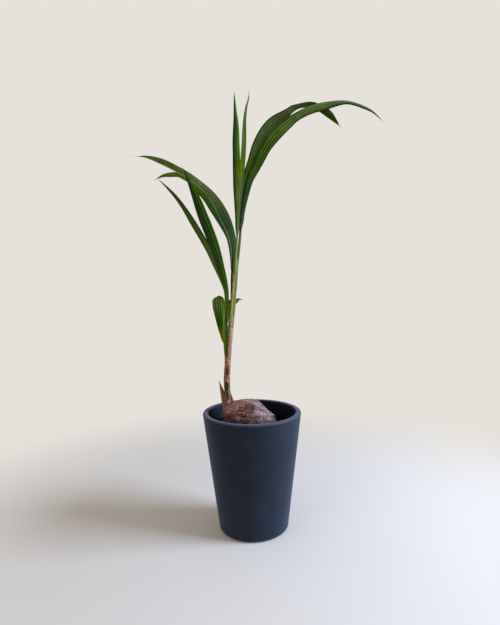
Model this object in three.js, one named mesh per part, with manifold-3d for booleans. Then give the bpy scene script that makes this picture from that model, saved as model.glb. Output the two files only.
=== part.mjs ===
// A young coconut palm, growing out of its nut in a tapered matt pot.
// Millimetres, +Z up. The origin is on the pot's axis, in the plane of its flat underside.
// The pot is full of potting mix, and the husked nut lies on its side, half sunk in the mix.
// The shoot leaves the nut's left end and leans to the right. Its leaves are those of a seedling:
// a stalk that runs on as a midrib, and a blade on each side of it. Past the midrib's end each
// blade goes on by itself as a lobe, so every leaf ends in two tips.

import * as THREE from "three";
import { mergeVertices } from "three/addons/utils/BufferGeometryUtils.js";
import Module from "manifold-3d";

const wasm = await Module();
wasm.setup();

// Clear space between pieces that touch
const GAP = 0.35;

// Pot: a straight-sided cone with a thick rim and a rounded foot
const POT = {
  height: 365,
  topRadius: 150,
  baseRadius: 105.5,
  wall: 17,
  floor: 20,
  footRound: 14,
  rimRound: 5,
  arcSteps: 4,
  sides: 48,
};

// Potting mix: its height at the wall, half way in and in the middle
const SOIL = { edge: 322, half: 327, crown: 328 };

// Nut: stations from its stemmed end to its frayed end, each as distance along and radius. It is
// turned in plan, a little flatter than it is deep, and has three blunt ridges along it.
const NUT = {
  stations: [
    [-93, 0], [-90, 17], [-84, 30], [-70, 43], [-48, 53], [-22, 60], [0, 61], [14, 58],
    [28, 48], [41, 35], [53, 20], [60, 8], [62, 0],
  ],
  centre: [0, -4, 341],
  turn: THREE.MathUtils.degToRad(4),
  depth: 1.04,
  ridge: 0.03,
  ridges: 3,
  around: 27,
};

// Stem: stations of x, y, z and radius, from inside the nut to the fork
const STEM = {
  stations: [
    [-73, 9, 362, 17], [-73, 8, 396, 13.5], [-74, 7, 424, 9.6], [-75, 6, 449, 9.3],
    [-72, 5, 499, 8.9], [-66, 4, 570, 8.6], [-58, 3, 628, 7.8], [-51, 2, 682, 7.4],
    [-46, 1, 737, 7.4], [-41, 0, 797, 7.4], [-38, 0, 830, 7],
  ],
  sides: 14,
  steps: 22,
};

// Dry scales that sheathe the foot of the stem
const SCALES = {
  scale_left: { spine: [[-83, 3, 372], [-90, 1, 416], [-99, -2, 460]], facing: [0.45, -0.9, 0], size: 1 },
  scale_right: { spine: [[-60, 4, 376], [-61, 3, 402], [-65, 2, 424]], facing: [-0.5, -0.87, 0], size: 0.6 },
};
const SCALE = { widths: [20, 24, 20, 11, 2], thick: 2.4, bow: 0.22, columns: 4, from: 0.02 };

// Leaves. The stalk's stations of x, y and z run from the stem to where the lobes part, and
// bladeFrom is the station where the blade starts. A lobe's tail goes on from the parting along
// its inner edge. Widths, and the across directions from the midrib to the outer edge, stand at
// even steps from the blade's start to its tip.
const LEAVES = {
  right: {
    stalk: [
      [-36, 1, 809], [-25, 2, 898], [-20, 4, 975], [-3, 6, 1060], [20, 6, 1112],
      [44, 6, 1164], [75, 8, 1205], [124, 10, 1245],
    ],
    bladeFrom: 1,
    stalkRadius: [4.6, 1.8],
    thick: 4.2,
    lobes: {
      long: {
        tail: [
          [159, 2, 1263], [198, -8, 1275], [238, -18, 1278], [284, -32, 1274],
          [325, -44, 1258], [354, -52, 1239], [385, -60, 1206],
        ],
        widths: [4, 11, 22, 34, 41, 37, 31, 22, 2.4],
        bow: -0.08,
        across: [
          [0.6, -0.8, 0], [0.7, -0.65, -0.3], [0.75, -0.5, -0.45], [0.6, -0.5, -0.6],
          [0.3, -0.6, -0.75], [0.1, -0.62, -0.78], [0, -0.86, -0.5], [-0.2, -0.7, -0.7],
        ],
      },
      short: {
        tail: [
          [149, 14, 1273], [169, 20, 1287], [195, 28, 1293], [221, 36, 1293],
          [246, 42, 1281], [269, 46, 1250], [287, 48, 1222],
        ],
        widths: [3, 10, 18, 28, 39, 43, 36, 26, 2.4],
        bow: 0.08,
        across: [
          [-0.1, -1, 0], [-0.15, -0.98, 0], [-0.6, -0.75, 0.2], [-0.55, -0.7, 0.45],
          [-0.33, -0.9, 0.15], [-0.3, -0.45, -0.8], [-0.75, -0.3, -0.55],
        ],
      },
    },
  },
  spear: {
    stalk: [[-39, -9, 791], [-34, -12, 885], [-31, -13, 967], [-27, -14, 1031], [-20, -14, 1117]],
    bladeFrom: 1,
    stalkRadius: [4.2, 1.6],
    thick: 3.2,
    lobes: {
      left: {
        tail: [[-20, -12, 1167], [-21, -10, 1214], [-26, -7, 1260], [-33, -3, 1317]],
        widths: [4, 8, 14, 19.5, 24, 25, 20.5, 11, 2.4],
        bow: 0.1,
        across: [
          [-0.6, -0.75, 0], [-0.75, -0.65, 0], [-0.85, -0.5, 0], [-0.85, -0.5, 0],
          [-0.9, -0.3, 0],
        ],
      },
      right: {
        tail: [[-16, -14, 1165], [-9, -16, 1231], [-2, -17, 1267], [9, -18, 1314]],
        widths: [4, 11, 16, 20, 22.5, 21, 15.5, 8, 2.4],
        bow: -0.1,
        across: [
          [0.6, -0.8, 0], [0.6, -0.8, 0], [0.6, -0.78, 0], [0.65, -0.75, 0], [0.75, -0.6, 0],
        ],
      },
    },
  },
  left_high: {
    stalk: [
      [-58, 2, 616], [-55, 1, 707], [-52, 2, 809], [-57, 6, 881], [-82, 12, 948],
      [-117, 20, 1016], [-169, 32, 1068],
    ],
    bladeFrom: 2,
    stalkRadius: [3.6, 1.6],
    thick: 3.2,
    lobes: {
      upper: {
        tail: [[-213, 36, 1095], [-264, 40, 1122], [-307, 42, 1141], [-336, 43, 1147]],
        widths: [6, 19, 34, 33, 25, 18, 19, 16, 2.4],
        bow: 0.1,
        across: [
          [0.8, 0.55, 0.1], [0.8, 0.5, 0.3], [0.7, 0.5, 0.5], [0.55, 0.5, 0.65],
          [0.4, 0.5, 0.75], [0.25, 0.5, 0.8], [0.1, 0.5, 0.85],
        ],
      },
      lower: {
        tail: [
          [-193, 42, 1085], [-215, 50, 1098], [-244, 58, 1100], [-267, 64, 1094],
          [-284, 68, 1083],
        ],
        widths: [4, 15, 26, 30, 28, 19, 12, 14, 2.4],
        bow: -0.1,
        across: [
          [-0.05, 1, 0], [-0.15, 0.98, 0], [-0.4, 0.88, -0.15], [-0.55, 0.72, -0.35],
          [-0.4, 0.75, -0.5], [-0.2, 0.5, -0.8], [0.1, 0.4, -0.9],
        ],
      },
    },
  },
  left_low: {
    stalk: [
      [-74, -4, 549], [-71, -10, 617], [-69, -15, 699], [-73, -18, 738], [-95, -28, 806],
      [-126, -48, 896],
    ],
    bladeFrom: 2,
    stalkRadius: [3.6, 1.6],
    thick: 3.2,
    lobes: {
      upper: {
        tail: [[-141, -62, 946], [-153, -78, 1000], [-165, -94, 1046], [-176, -106, 1076]],
        widths: [4, 15, 24, 32, 36, 35, 28, 16, 2.4],
        bow: 0.1,
        across: [
          [0.7, 0.6, 0.1], [0.8, 0.55, 0.2], [0.82, 0.5, 0.25], [0.82, 0.5, 0.3],
          [0.8, 0.5, 0.33], [0.75, 0.5, 0.4],
        ],
      },
      lower: {
        tail: [[-170, -54, 965], [-208, -57, 1016], [-250, -60, 1059]],
        widths: [4, 14, 23, 29, 32, 26, 17, 10, 2.4],
        bow: -0.1,
        across: [
          [-0.3, 0.95, 0], [-0.4, 0.9, 0], [-0.6, 0.78, -0.1], [-0.58, 0.72, -0.3],
          [-0.5, 0.78, -0.35], [-0.4, 0.8, -0.4],
        ],
      },
    },
  },
  first: {
    stalk: [
      [-76, -3, 518], [-77, -7, 559], [-79, -10, 596], [-82, -12, 633], [-80, -11, 669],
      [-76, -8, 699],
    ],
    bladeFrom: 1,
    stalkRadius: [3, 1.4],
    thick: 2.4,
    lobes: {
      left: {
        tail: [[-76, -5, 711], [-79, -1, 724]],
        widths: [3.5, 4, 8, 13, 20, 28, 35, 34, 22],
        bow: 0.12,
        across: [
          [-0.9, -0.4, 0.1], [-0.92, -0.35, 0.1], [-0.92, -0.3, 0.15], [-0.95, -0.2, 0.15],
          [-0.9, 0, -0.1],
        ],
      },
      right: {
        tail: [[-64, 8, 707], [-50, 20, 708], [-32, 28, 711], [-21, 34, 704]],
        widths: [7, 11, 16, 23, 29, 30, 26, 14, 2.4],
        bow: -0.1,
        across: [
          [0.9, 0.4, 0], [0.75, 0.65, 0], [0.6, 0.8, 0], [0.65, 0.75, -0.1],
          [0.2, 0.5, -0.85], [0.1, 0.3, -0.95],
        ],
      },
    },
  },
};

// Blade make-up: its pleats, the length of a step along it, the share where it starts, the clear
// space at a parting, and a lobe's inset from its inner edge, in length and as a share of its width
const BLADE = {
  columns: 4,
  pleatDepth: 0.045,
  stepLength: 26,
  fewestSteps: 5,
  start: 0.01,
  parting: 0.6,
  inset: 3,
  mostInset: 1 / 3,
};
const STALK = { sides: 8, stepsPerStation: 3 };

// Even pieces that a curve's length is measured in, and how close corners are joined as one
const CURVE_PIECES = 600;
const SAME_CORNER = 1e-4;

const MATT_POT = new THREE.MeshStandardMaterial({ color: 0x2f3746, roughness: 0.8 });
const DARK_MIX = new THREE.MeshStandardMaterial({ color: 0x1b1613, roughness: 1 });
const HUSK = new THREE.MeshStandardMaterial({ color: 0x7a5a48, roughness: 0.95 });
const SHEATH = new THREE.MeshStandardMaterial({ color: 0xa07a5a, roughness: 0.8 });
const LEAF = new THREE.MeshStandardMaterial({ color: 0x2f5a23, roughness: 0.45 });

// A closed solid from a geometry, and a named mesh from a solid
function toSolid(geometry) {
  const bare = geometry.clone();
  bare.deleteAttribute("normal");
  bare.deleteAttribute("uv");
  const merged = mergeVertices(bare, SAME_CORNER);
  return new wasm.Manifold(
    new wasm.Mesh({
      numProp: 3,
      vertProperties: merged.attributes.position.array,
      triVerts: new Uint32Array(merged.index.array),
    }),
  );
}

function toMesh(name, solid, material) {
  const { vertProperties, triVerts } = solid.getMesh();
  const geometry = new THREE.BufferGeometry();
  geometry.setAttribute("position", new THREE.BufferAttribute(vertProperties, 3));
  geometry.setIndex(new THREE.BufferAttribute(triVerts, 1));
  geometry.computeVertexNormals();
  const mesh = new THREE.Mesh(geometry, material);
  mesh.name = name;
  return mesh;
}

function mapVertices(geometry, place) {
  const position = geometry.attributes.position;
  const from = new THREE.Vector3();
  for (let i = 0; i < position.count; i += 1) {
    const to = place(from.fromBufferAttribute(position, i));
    position.setXYZ(i, to.x, to.y, to.z);
  }
  return geometry;
}

function curveThrough(points) {
  const places = points.map((point) => new THREE.Vector3(...point));
  const curve = new THREE.CatmullRomCurve3(places, false, "centripetal");
  curve.arcLengthDivisions = CURVE_PIECES;
  return curve;
}

// A point on a curve, carried straight on past its ends
function pointAlong(curve, share) {
  const held = THREE.MathUtils.clamp(share, 0, 1);
  const beyond = (share - held) * curve.getLength();
  return curve.getPointAt(held).addScaledVector(curve.getTangentAt(held), beyond);
}

// Numbers that stand at even steps, read smoothly at any share of the way
function readAlong(values) {
  const line = new THREE.SplineCurve(values.map((value, i) => new THREE.Vector2(i, value)));
  return (share) => line.getPoint(share).y;
}

// Step i of count between two ends, of which only the outermost are pushed out by `grow`
function spread(from, to, i, count, grow) {
  const push = (i === count ? grow : 0) - (i === 0 ? grow : 0);
  return THREE.MathUtils.lerp(from, to, i / count) + push;
}

// A round tapering limb through stations of x, y, z and radius
function limb(stations, sides, steps, grow) {
  const curve = curveThrough(stations.map(([x, y, z]) => [x, y, z]));
  const radiusAt = readAlong(stations.map(([, , , radius]) => radius));
  const { normals, binormals } = curve.computeFrenetFrames(steps, false);
  const over = grow / curve.getLength();
  const tube = new THREE.CylinderGeometry(1, 1, 1, sides, steps);
  return toSolid(
    mapVertices(tube, (v) => {
      const step = Math.round((v.y + 0.5) * steps);
      const radius = radiusAt(curve.getUtoTmapping(step / steps)) + grow;
      return pointAlong(curve, spread(0, 1, step, steps, over))
        .addScaledVector(normals[step], v.x * radius)
        .addScaledVector(binormals[step], -v.z * radius);
    }),
  );
}

// One thin strip of leaf from share `from` to share `to` of its spine. Its side from the spine
// starts at `inset`, or at the share `start` of its width, and it is bowed and pleated across.
function strip({ spine, across, widths, bow, thick, columns, from, to, inset = 0, start = 0 }, grow) {
  const curve = curveThrough(spine);
  const facing = curveThrough(across);
  const widthAt = readAlong(widths);
  const length = curve.getLength();
  const over = grow / length;
  const steps = Math.max(BLADE.fewestSteps, Math.round(((to - from) * length) / BLADE.stepLength));
  const box = new THREE.BoxGeometry(1, 1, 1, steps, columns, 1);
  return toSolid(
    mapVertices(box, (v) => {
      const step = Math.round((v.x + 0.5) * steps);
      const column = Math.round((v.y + 0.5) * columns);
      const share = spread(from, to, step, steps, over);
      const held = THREE.MathUtils.lerp(from, to, step / steps);
      const edge = column / columns;
      const width = widthAt(held);
      const inner = Math.min(inset, width * BLADE.mostInset);
      const side = spread(inner, width, column, columns, grow) + start * width;
      const along = curve.getTangentAt(held);
      const out = facing.getPoint(held);
      out.addScaledVector(along, -out.dot(along)).normalize();
      const normal = new THREE.Vector3().crossVectors(along, out);
      const pleat = column % 2 ? BLADE.pleatDepth * width : 0;
      const lift = bow * width * 4 * edge * (1 - edge) + pleat + v.z * (thick + 2 * grow);
      return pointAlong(curve, share).addScaledVector(out, side).addScaledVector(normal, lift);
    }),
  );
}

function outline(points, sides) {
  const profile = points.map(([r, z]) => new THREE.Vector2(r, z));
  return toSolid(new THREE.LatheGeometry(profile, sides).rotateX(Math.PI / 2));
}

const outerRadius = (z) => THREE.MathUtils.lerp(POT.baseRadius, POT.topRadius, z / POT.height);
const innerRadius = (z) => outerRadius(z) - POT.wall;

function quarterTurn(radius, height, round, fromAngle) {
  return Array.from({ length: POT.arcSteps + 1 }, (_, i) => {
    const angle = fromAngle + (Math.PI / 2) * (i / POT.arcSteps);
    return [radius + round * Math.cos(angle), height + round * Math.sin(angle)];
  });
}

function pot() {
  const { height, floor, footRound, rimRound, sides } = POT;
  const foot = quarterTurn(outerRadius(footRound) - footRound, footRound, footRound, -Math.PI / 2);
  const rimOut = quarterTurn(outerRadius(height) - rimRound, height - rimRound, rimRound, 0);
  const rimIn = quarterTurn(innerRadius(height) + rimRound, height - rimRound, rimRound, Math.PI / 2);
  return outline([[0, 0], ...foot, ...rimOut, ...rimIn, [innerRadius(floor), floor], [0, floor]], sides);
}

function soil() {
  const foot = POT.floor + GAP;
  const half = innerRadius(SOIL.edge) / 2;
  const rings = [
    [0, foot], [innerRadius(foot) - GAP, foot], [innerRadius(SOIL.edge) - GAP, SOIL.edge],
    [half, SOIL.half], [0, SOIL.crown],
  ];
  return outline(rings, POT.sides);
}

// The husked nut, turned about its length and then laid on its side
function nut(grow) {
  const profile = NUT.stations.map(([along, radius], i) => {
    const end = i === 0 ? -grow : i === NUT.stations.length - 1 ? grow : 0;
    return new THREE.Vector2(radius && radius + grow, along + end);
  });
  const lay = new THREE.Matrix4()
    .makeTranslation(...NUT.centre)
    .multiply(new THREE.Matrix4().makeRotationZ(NUT.turn))
    .multiply(new THREE.Matrix4().makeRotationZ(-Math.PI / 2));
  return toSolid(
    mapVertices(new THREE.LatheGeometry(profile, NUT.around), (v) => {
      const girth = 1 + NUT.ridge * (Math.cos(NUT.ridges * Math.atan2(v.x, v.z)) - 1);
      return new THREE.Vector3(v.x * girth * NUT.depth, v.y, v.z * girth).applyMatrix4(lay);
    }),
  );
}

function scale({ spine, facing, size }, grow) {
  const widths = SCALE.widths.map((width) => width * size);
  return strip({ ...SCALE, spine, widths, across: [facing, facing, facing], to: 1, start: -0.5 }, grow);
}

// A leaf's parts: its stalk with both blades as far as the parting, and then each lobe
function leafParts(name, leaf) {
  const { stalk, bladeFrom, stalkRadius, thick, lobes } = leaf;
  const midrib = stalk.slice(bladeFrom);
  const halves = Object.entries(lobes).map(([side, lobe]) => {
    const spine = [...midrib, ...lobe.tail];
    const whole = curveThrough(spine).getLength();
    return {
      side,
      cut: curveThrough(midrib).getLength() / whole,
      parting: BLADE.parting / whole,
      shape: { ...lobe, spine, thick, columns: BLADE.columns },
    };
  });
  const taper = (i) => THREE.MathUtils.lerp(...stalkRadius, i / (stalk.length - 1));
  const stations = stalk.map((point, i) => [...point, taper(i)]);
  const whole = (grow) =>
    halves.reduce(
      (solid, { shape, cut }) => solid.add(strip({ ...shape, from: BLADE.start, to: cut }, grow)),
      limb(stations, STALK.sides, STALK.stepsPerStation * stations.length, grow),
    );
  const ends = halves.map(({ side, cut, shape, parting }) => ({
    name: `leaf_${name}_${side}_lobe`,
    make: (grow) => strip({ ...shape, from: cut + parting, to: 1, inset: BLADE.inset }, grow),
    material: LEAF,
  }));
  return [{ name: `leaf_${name}_blade`, make: whole, material: LEAF }, ...ends];
}

// Every part in the order in which it is cut clear of the ones before it
const parts = [
  { name: "pot", make: pot, material: MATT_POT, fixed: true },
  { name: "stem", make: (grow) => limb(STEM.stations, STEM.sides, STEM.steps, grow), material: SHEATH },
  { name: "nut", make: nut, material: HUSK },
  { name: "soil", make: soil, material: DARK_MIX, fixed: true },
  ...Object.entries(SCALES).map(([name, shape]) => ({
    name, make: (grow) => scale(shape, grow), material: SHEATH,
  })),
  ...Object.entries(LEAVES).flatMap(([name, leaf]) => leafParts(name, leaf)),
];

function overlaps(a, b) {
  return [0, 1, 2].every((i) => a.min[i] <= b.max[i] && b.min[i] <= a.max[i]);
}

// The largest body of a solid, without the loose scraps that a cut can leave
function mainBody(solid) {
  return solid.decompose().reduce((most, body) => (body.volume() > most.volume() ? body : most));
}

const plant = new THREE.Group();
const cutters = [];
for (const { name, make, material, fixed } of parts) {
  let solid = make(0);
  for (const cutter of cutters)
    if (overlaps(solid.boundingBox(), cutter.boundingBox())) solid = solid.subtract(cutter);
  plant.add(toMesh(name, mainBody(solid), material));
  if (!fixed) cutters.push(make(GAP));
}

export default plant;
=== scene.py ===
"""A young coconut palm sprouting from its husked nut, in a tapered matt pot.

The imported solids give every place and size. This script replaces them with finer pieces and finishes
them: a spun pot, crumbly potting mix, a fibrous nut, a stem in torn leaf sheaths, papery scales, and
five leaves, each folded in pleats on a channelled stalk. Tables are in millimetres, in the frame of
the solids, and the functions turn them to metres.
"""

import math
import random
from bisect import bisect_left
from functools import cache

import bmesh
import bpy
from mathutils import Matrix, Vector, noise


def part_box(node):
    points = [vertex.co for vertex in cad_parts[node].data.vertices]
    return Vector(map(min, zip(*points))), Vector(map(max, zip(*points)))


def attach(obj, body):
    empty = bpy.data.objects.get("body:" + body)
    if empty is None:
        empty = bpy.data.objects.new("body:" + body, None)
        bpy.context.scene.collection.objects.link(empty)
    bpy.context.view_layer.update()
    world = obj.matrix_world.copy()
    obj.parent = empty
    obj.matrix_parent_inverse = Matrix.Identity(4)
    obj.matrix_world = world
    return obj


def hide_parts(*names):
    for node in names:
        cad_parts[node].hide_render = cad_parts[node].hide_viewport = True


bl_info = {
    "name": "Potted coconut palm",
    "version": (1, 0, 0),
    "blender": (4, 5, 0),
    "location": "3D View > Sidebar > Palm",
    "description": "Builds and finishes a young coconut palm in its pot",
    "category": "Object",
}

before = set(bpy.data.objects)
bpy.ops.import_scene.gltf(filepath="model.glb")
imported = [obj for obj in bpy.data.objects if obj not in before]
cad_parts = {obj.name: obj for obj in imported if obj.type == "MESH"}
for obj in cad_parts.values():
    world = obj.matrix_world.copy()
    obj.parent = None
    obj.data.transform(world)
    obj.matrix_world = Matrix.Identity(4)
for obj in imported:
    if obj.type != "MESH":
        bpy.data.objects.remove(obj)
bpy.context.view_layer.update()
MM = 0.001
SEED = 7
# Noise vectors take their offsets from this seed, so that each run makes the same lumps
noise.seed_set(SEED)

# Pot: its reach comes from the solid, and the rest is as the solid has it. The top of the rim has a
# paler band, a painted highlight. What is on or inside the inner wall, with inner_margin to spare, is
# painted darker with shade.
POT_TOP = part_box("pot")[1]
POT = {
    "height": POT_TOP.z / MM,
    "top": POT_TOP.y / MM,
    "base": 105.5,
    "wall": 17,
    "floor": 20,
    "foot_round": 14,
    "rim_round": 5,
    "painted_rim_highlight": 4,
    "inner_margin": 2,
    "arc_steps": 7,
    "sides": 160,
}

# Potting mix: height at the wall, rise to the middle, and the size of its lumps
MIX = {
    "edge": 322,
    "rise": 4,
    "gap": 0.35,
    "rings": 30,
    "sides": 120,
    "swell": 2.4,
    "swell_width": 17,
    "grain": 1.1,
    "grain_width": 4.5,
    "bank": 7,
    "bank_width": 12,
}
# Crumbs and chips of bark on the mix: how many, their sizes in mm and their three sides as shares of it,
# how far they keep from the wall, how they tilt and stand out, and the knobs that roughen them
CRUMBS = {
    "count": 900,
    "least": 1.0,
    "most": 3.6,
    "shape": (1, 0.8, 0.7),
    "chips": 110,
    "chip": 6.5,
    "chip_sizes": (0.5, 1.1),
    "chip_shape": (1, 0.3, 0.16),
    "clear": 6,
    "tilt": 0.6,
    "raised": 0.3,
    "knob_width": 3,
    "knob": 0.35,
}

# Nut: stations from its shoot end to its frayed end, as distance along and radius
NUT = {
    "stations": [
        (-93, 0), (-91.5, 24), (-86, 40), (-72, 50), (-49, 56), (-22, 60.5), (0, 61), (14, 58),
        (28, 48), (41, 35), (53, 20), (60, 8), (62, 0),
    ],
    "centre": (0, -4, 341),
    "turn": math.radians(4),
    "depth": 1.04,
    "ridge": 0.03,
    "ridges": 3,
    "around": 260,
    "along": 210,
}
FIBRES = {"count": 320, "frayed": 150, "steps": 8, "sides": 4, "thick": 0.42}
# Where fibres lie, in turns and in shares of the nut's length, how far off it they are in mm, and how
# many times the thickness they have. Turns, drifts and bends are to both sides.
LYING = {
    "turn": 0.3,
    "start": (0.03, 0.85),
    "length": (0.05, 0.15),
    "drift": 0.03,
    "bend": 0.012,
    "middle": 0.2,
    "ends": (-0.5, 1.8),
    "thick": (0.5, 1.2),
}
FRAYED = {
    "turn": 0.36,
    "start": (0.72, 0.93),
    "knee": 0.08,
    "drift": 0.02,
    "lift": (1.5, 6),
    "reach": (6, 20),
    "droop": (0.1, 0.5),
    "arch": 0.8,
    "thick": (1, 3),
}
# The husk's relief in mm. Ridges, grain and split are height, and how fine they are round the nut and
# along it. A split starts where its noise passes split_from, and is full split_over further.
HUSK = {
    "end_fade": 0.05,
    "slender": 2.6,
    "wander": 0.12,
    "wander_fine": 3,
    "lumps": 2.2,
    "lumps_fine": 2.4,
    "ridges": [(1.1, 7.5, 3.6), (1.2, 17, 8), (1.3, 36, 14)],
    "grain": (0.9, 42, 24),
    "split": (1.0, 5, 2.4),
    "split_at": 7,
    "split_from": 0.34,
    "split_over": 0.14,
    "sink": 1.0,
    "crest_from": -4.2,
    "crest_over": 6,
}

# Stem: stations of x, y, z and radius, from inside the nut to the fork
STEM = {
    "stations": [
        (-73, 9, 362, 17), (-73, 8, 396, 13.5), (-74, 7, 424, 9.6), (-75, 6, 449, 9.3),
        (-72.6, 5, 499, 9.7), (-65.6, 4, 570, 9.2), (-58.6, 3, 628, 8.8), (-51.4, 2, 682, 8.1),
        (-46, 1, 737, 7.8), (-40.5, 0, 797, 7.6), (-38, 0, 830, 7),
    ],
    "around": 72,
    "step": 1.3,
    "sheath": 0.9,
    "fibre": 0.35,
    "fibre_round": 9,
    "fibre_length": 35,
}
# Its net of fibres, between two shares of its length
NET = {
    "count": 80,
    "from": 0.06,
    "to": 0.62,
    "crowd": 1.6,
    "wound": (0.15, 0.45),
    "climb": (0.012, 0.045),
    "parts": 5,
    "lift": 0.5,
    "radius": 0.3,
    "thick": (0.6, 1.3),
    "tip": 0.5,
    "sides": 4,
    "steps": 14,
}
# Where the torn sheath shows the green stem: height, turn from the back, and half sizes of both
FRONT, BACK, LEFT = 0.5, 0.0, 0.75
WINDOWS = [
    (491, FRONT, 11, 0.07), (443, FRONT + 0.01, 13, 0.1), (413, FRONT + 0.02, 12, 0.08),
    (470, BACK, 14, 0.1), (425, BACK - 0.08, 9, 0.07), (505, LEFT, 10, 0.07), (560, BACK + 0.08, 18, 0.09),
]

# How the sheath is torn: sizes of its patches and tears in mm of height, how ragged its windows and its
# upper edge are, and from which height it opens till only a dry edge is left, on the left of the stem
SHEATH = {
    "patch_round": 2,
    "patch_height": 22,
    "tear_round": 25,
    "tear_at": 3,
    "tear_height": 7,
    "window_ragged": 0.35,
    "window_edge": 0.25,
    "open_from": 560,
    "open_over": 140,
    "opened": 0.95,
    "left_turn": 0.04,
    "kept": 0.25,
    "patchy": 0.3,
    "ragged": 0.12,
    "edge": 0.12,
}

# Dry scales round the foot of the stem, with the spine, the facing and the size of each
SCALES = {
    "scale_left": {
        "spine": [(-79, 3, 373), (-87, 1, 416), (-98.5, -2, 460)],
        "facing": (0.84, -0.55, 0),
        "size": 1,
    },
    "scale_right": {
        "spine": [(-58, 4, 374), (-59, 2, 398), (-63, 1, 420)],
        "facing": (-0.6, -0.8, 0),
        "size": 0.4,
    },
}
SCALE = {
    "widths": [20, 24, 20, 11, 1],
    "bow": 0.3,
    "ragged": 0.06,
    "ragged_across": 3,
    "ragged_along": 20,
    "columns": 16,
    "rows": 40,
    "thick": 0.9,
}
# Short torn scales that hug the foot: the middle of their ring, the height they start at, how far out
# their foot, middle and tip stand, and the least and the most of their height and size
TORN = {
    "count": 11,
    "middle": (-73, 8),
    "foot": 374,
    "uneven": 0.2,
    "out": (15.5, 13.5, 12.5),
    "tip_out": (-1, 2),
    "bend_at": 0.6,
    "height": (9, 24),
    "size": (0.22, 0.38),
}
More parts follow.
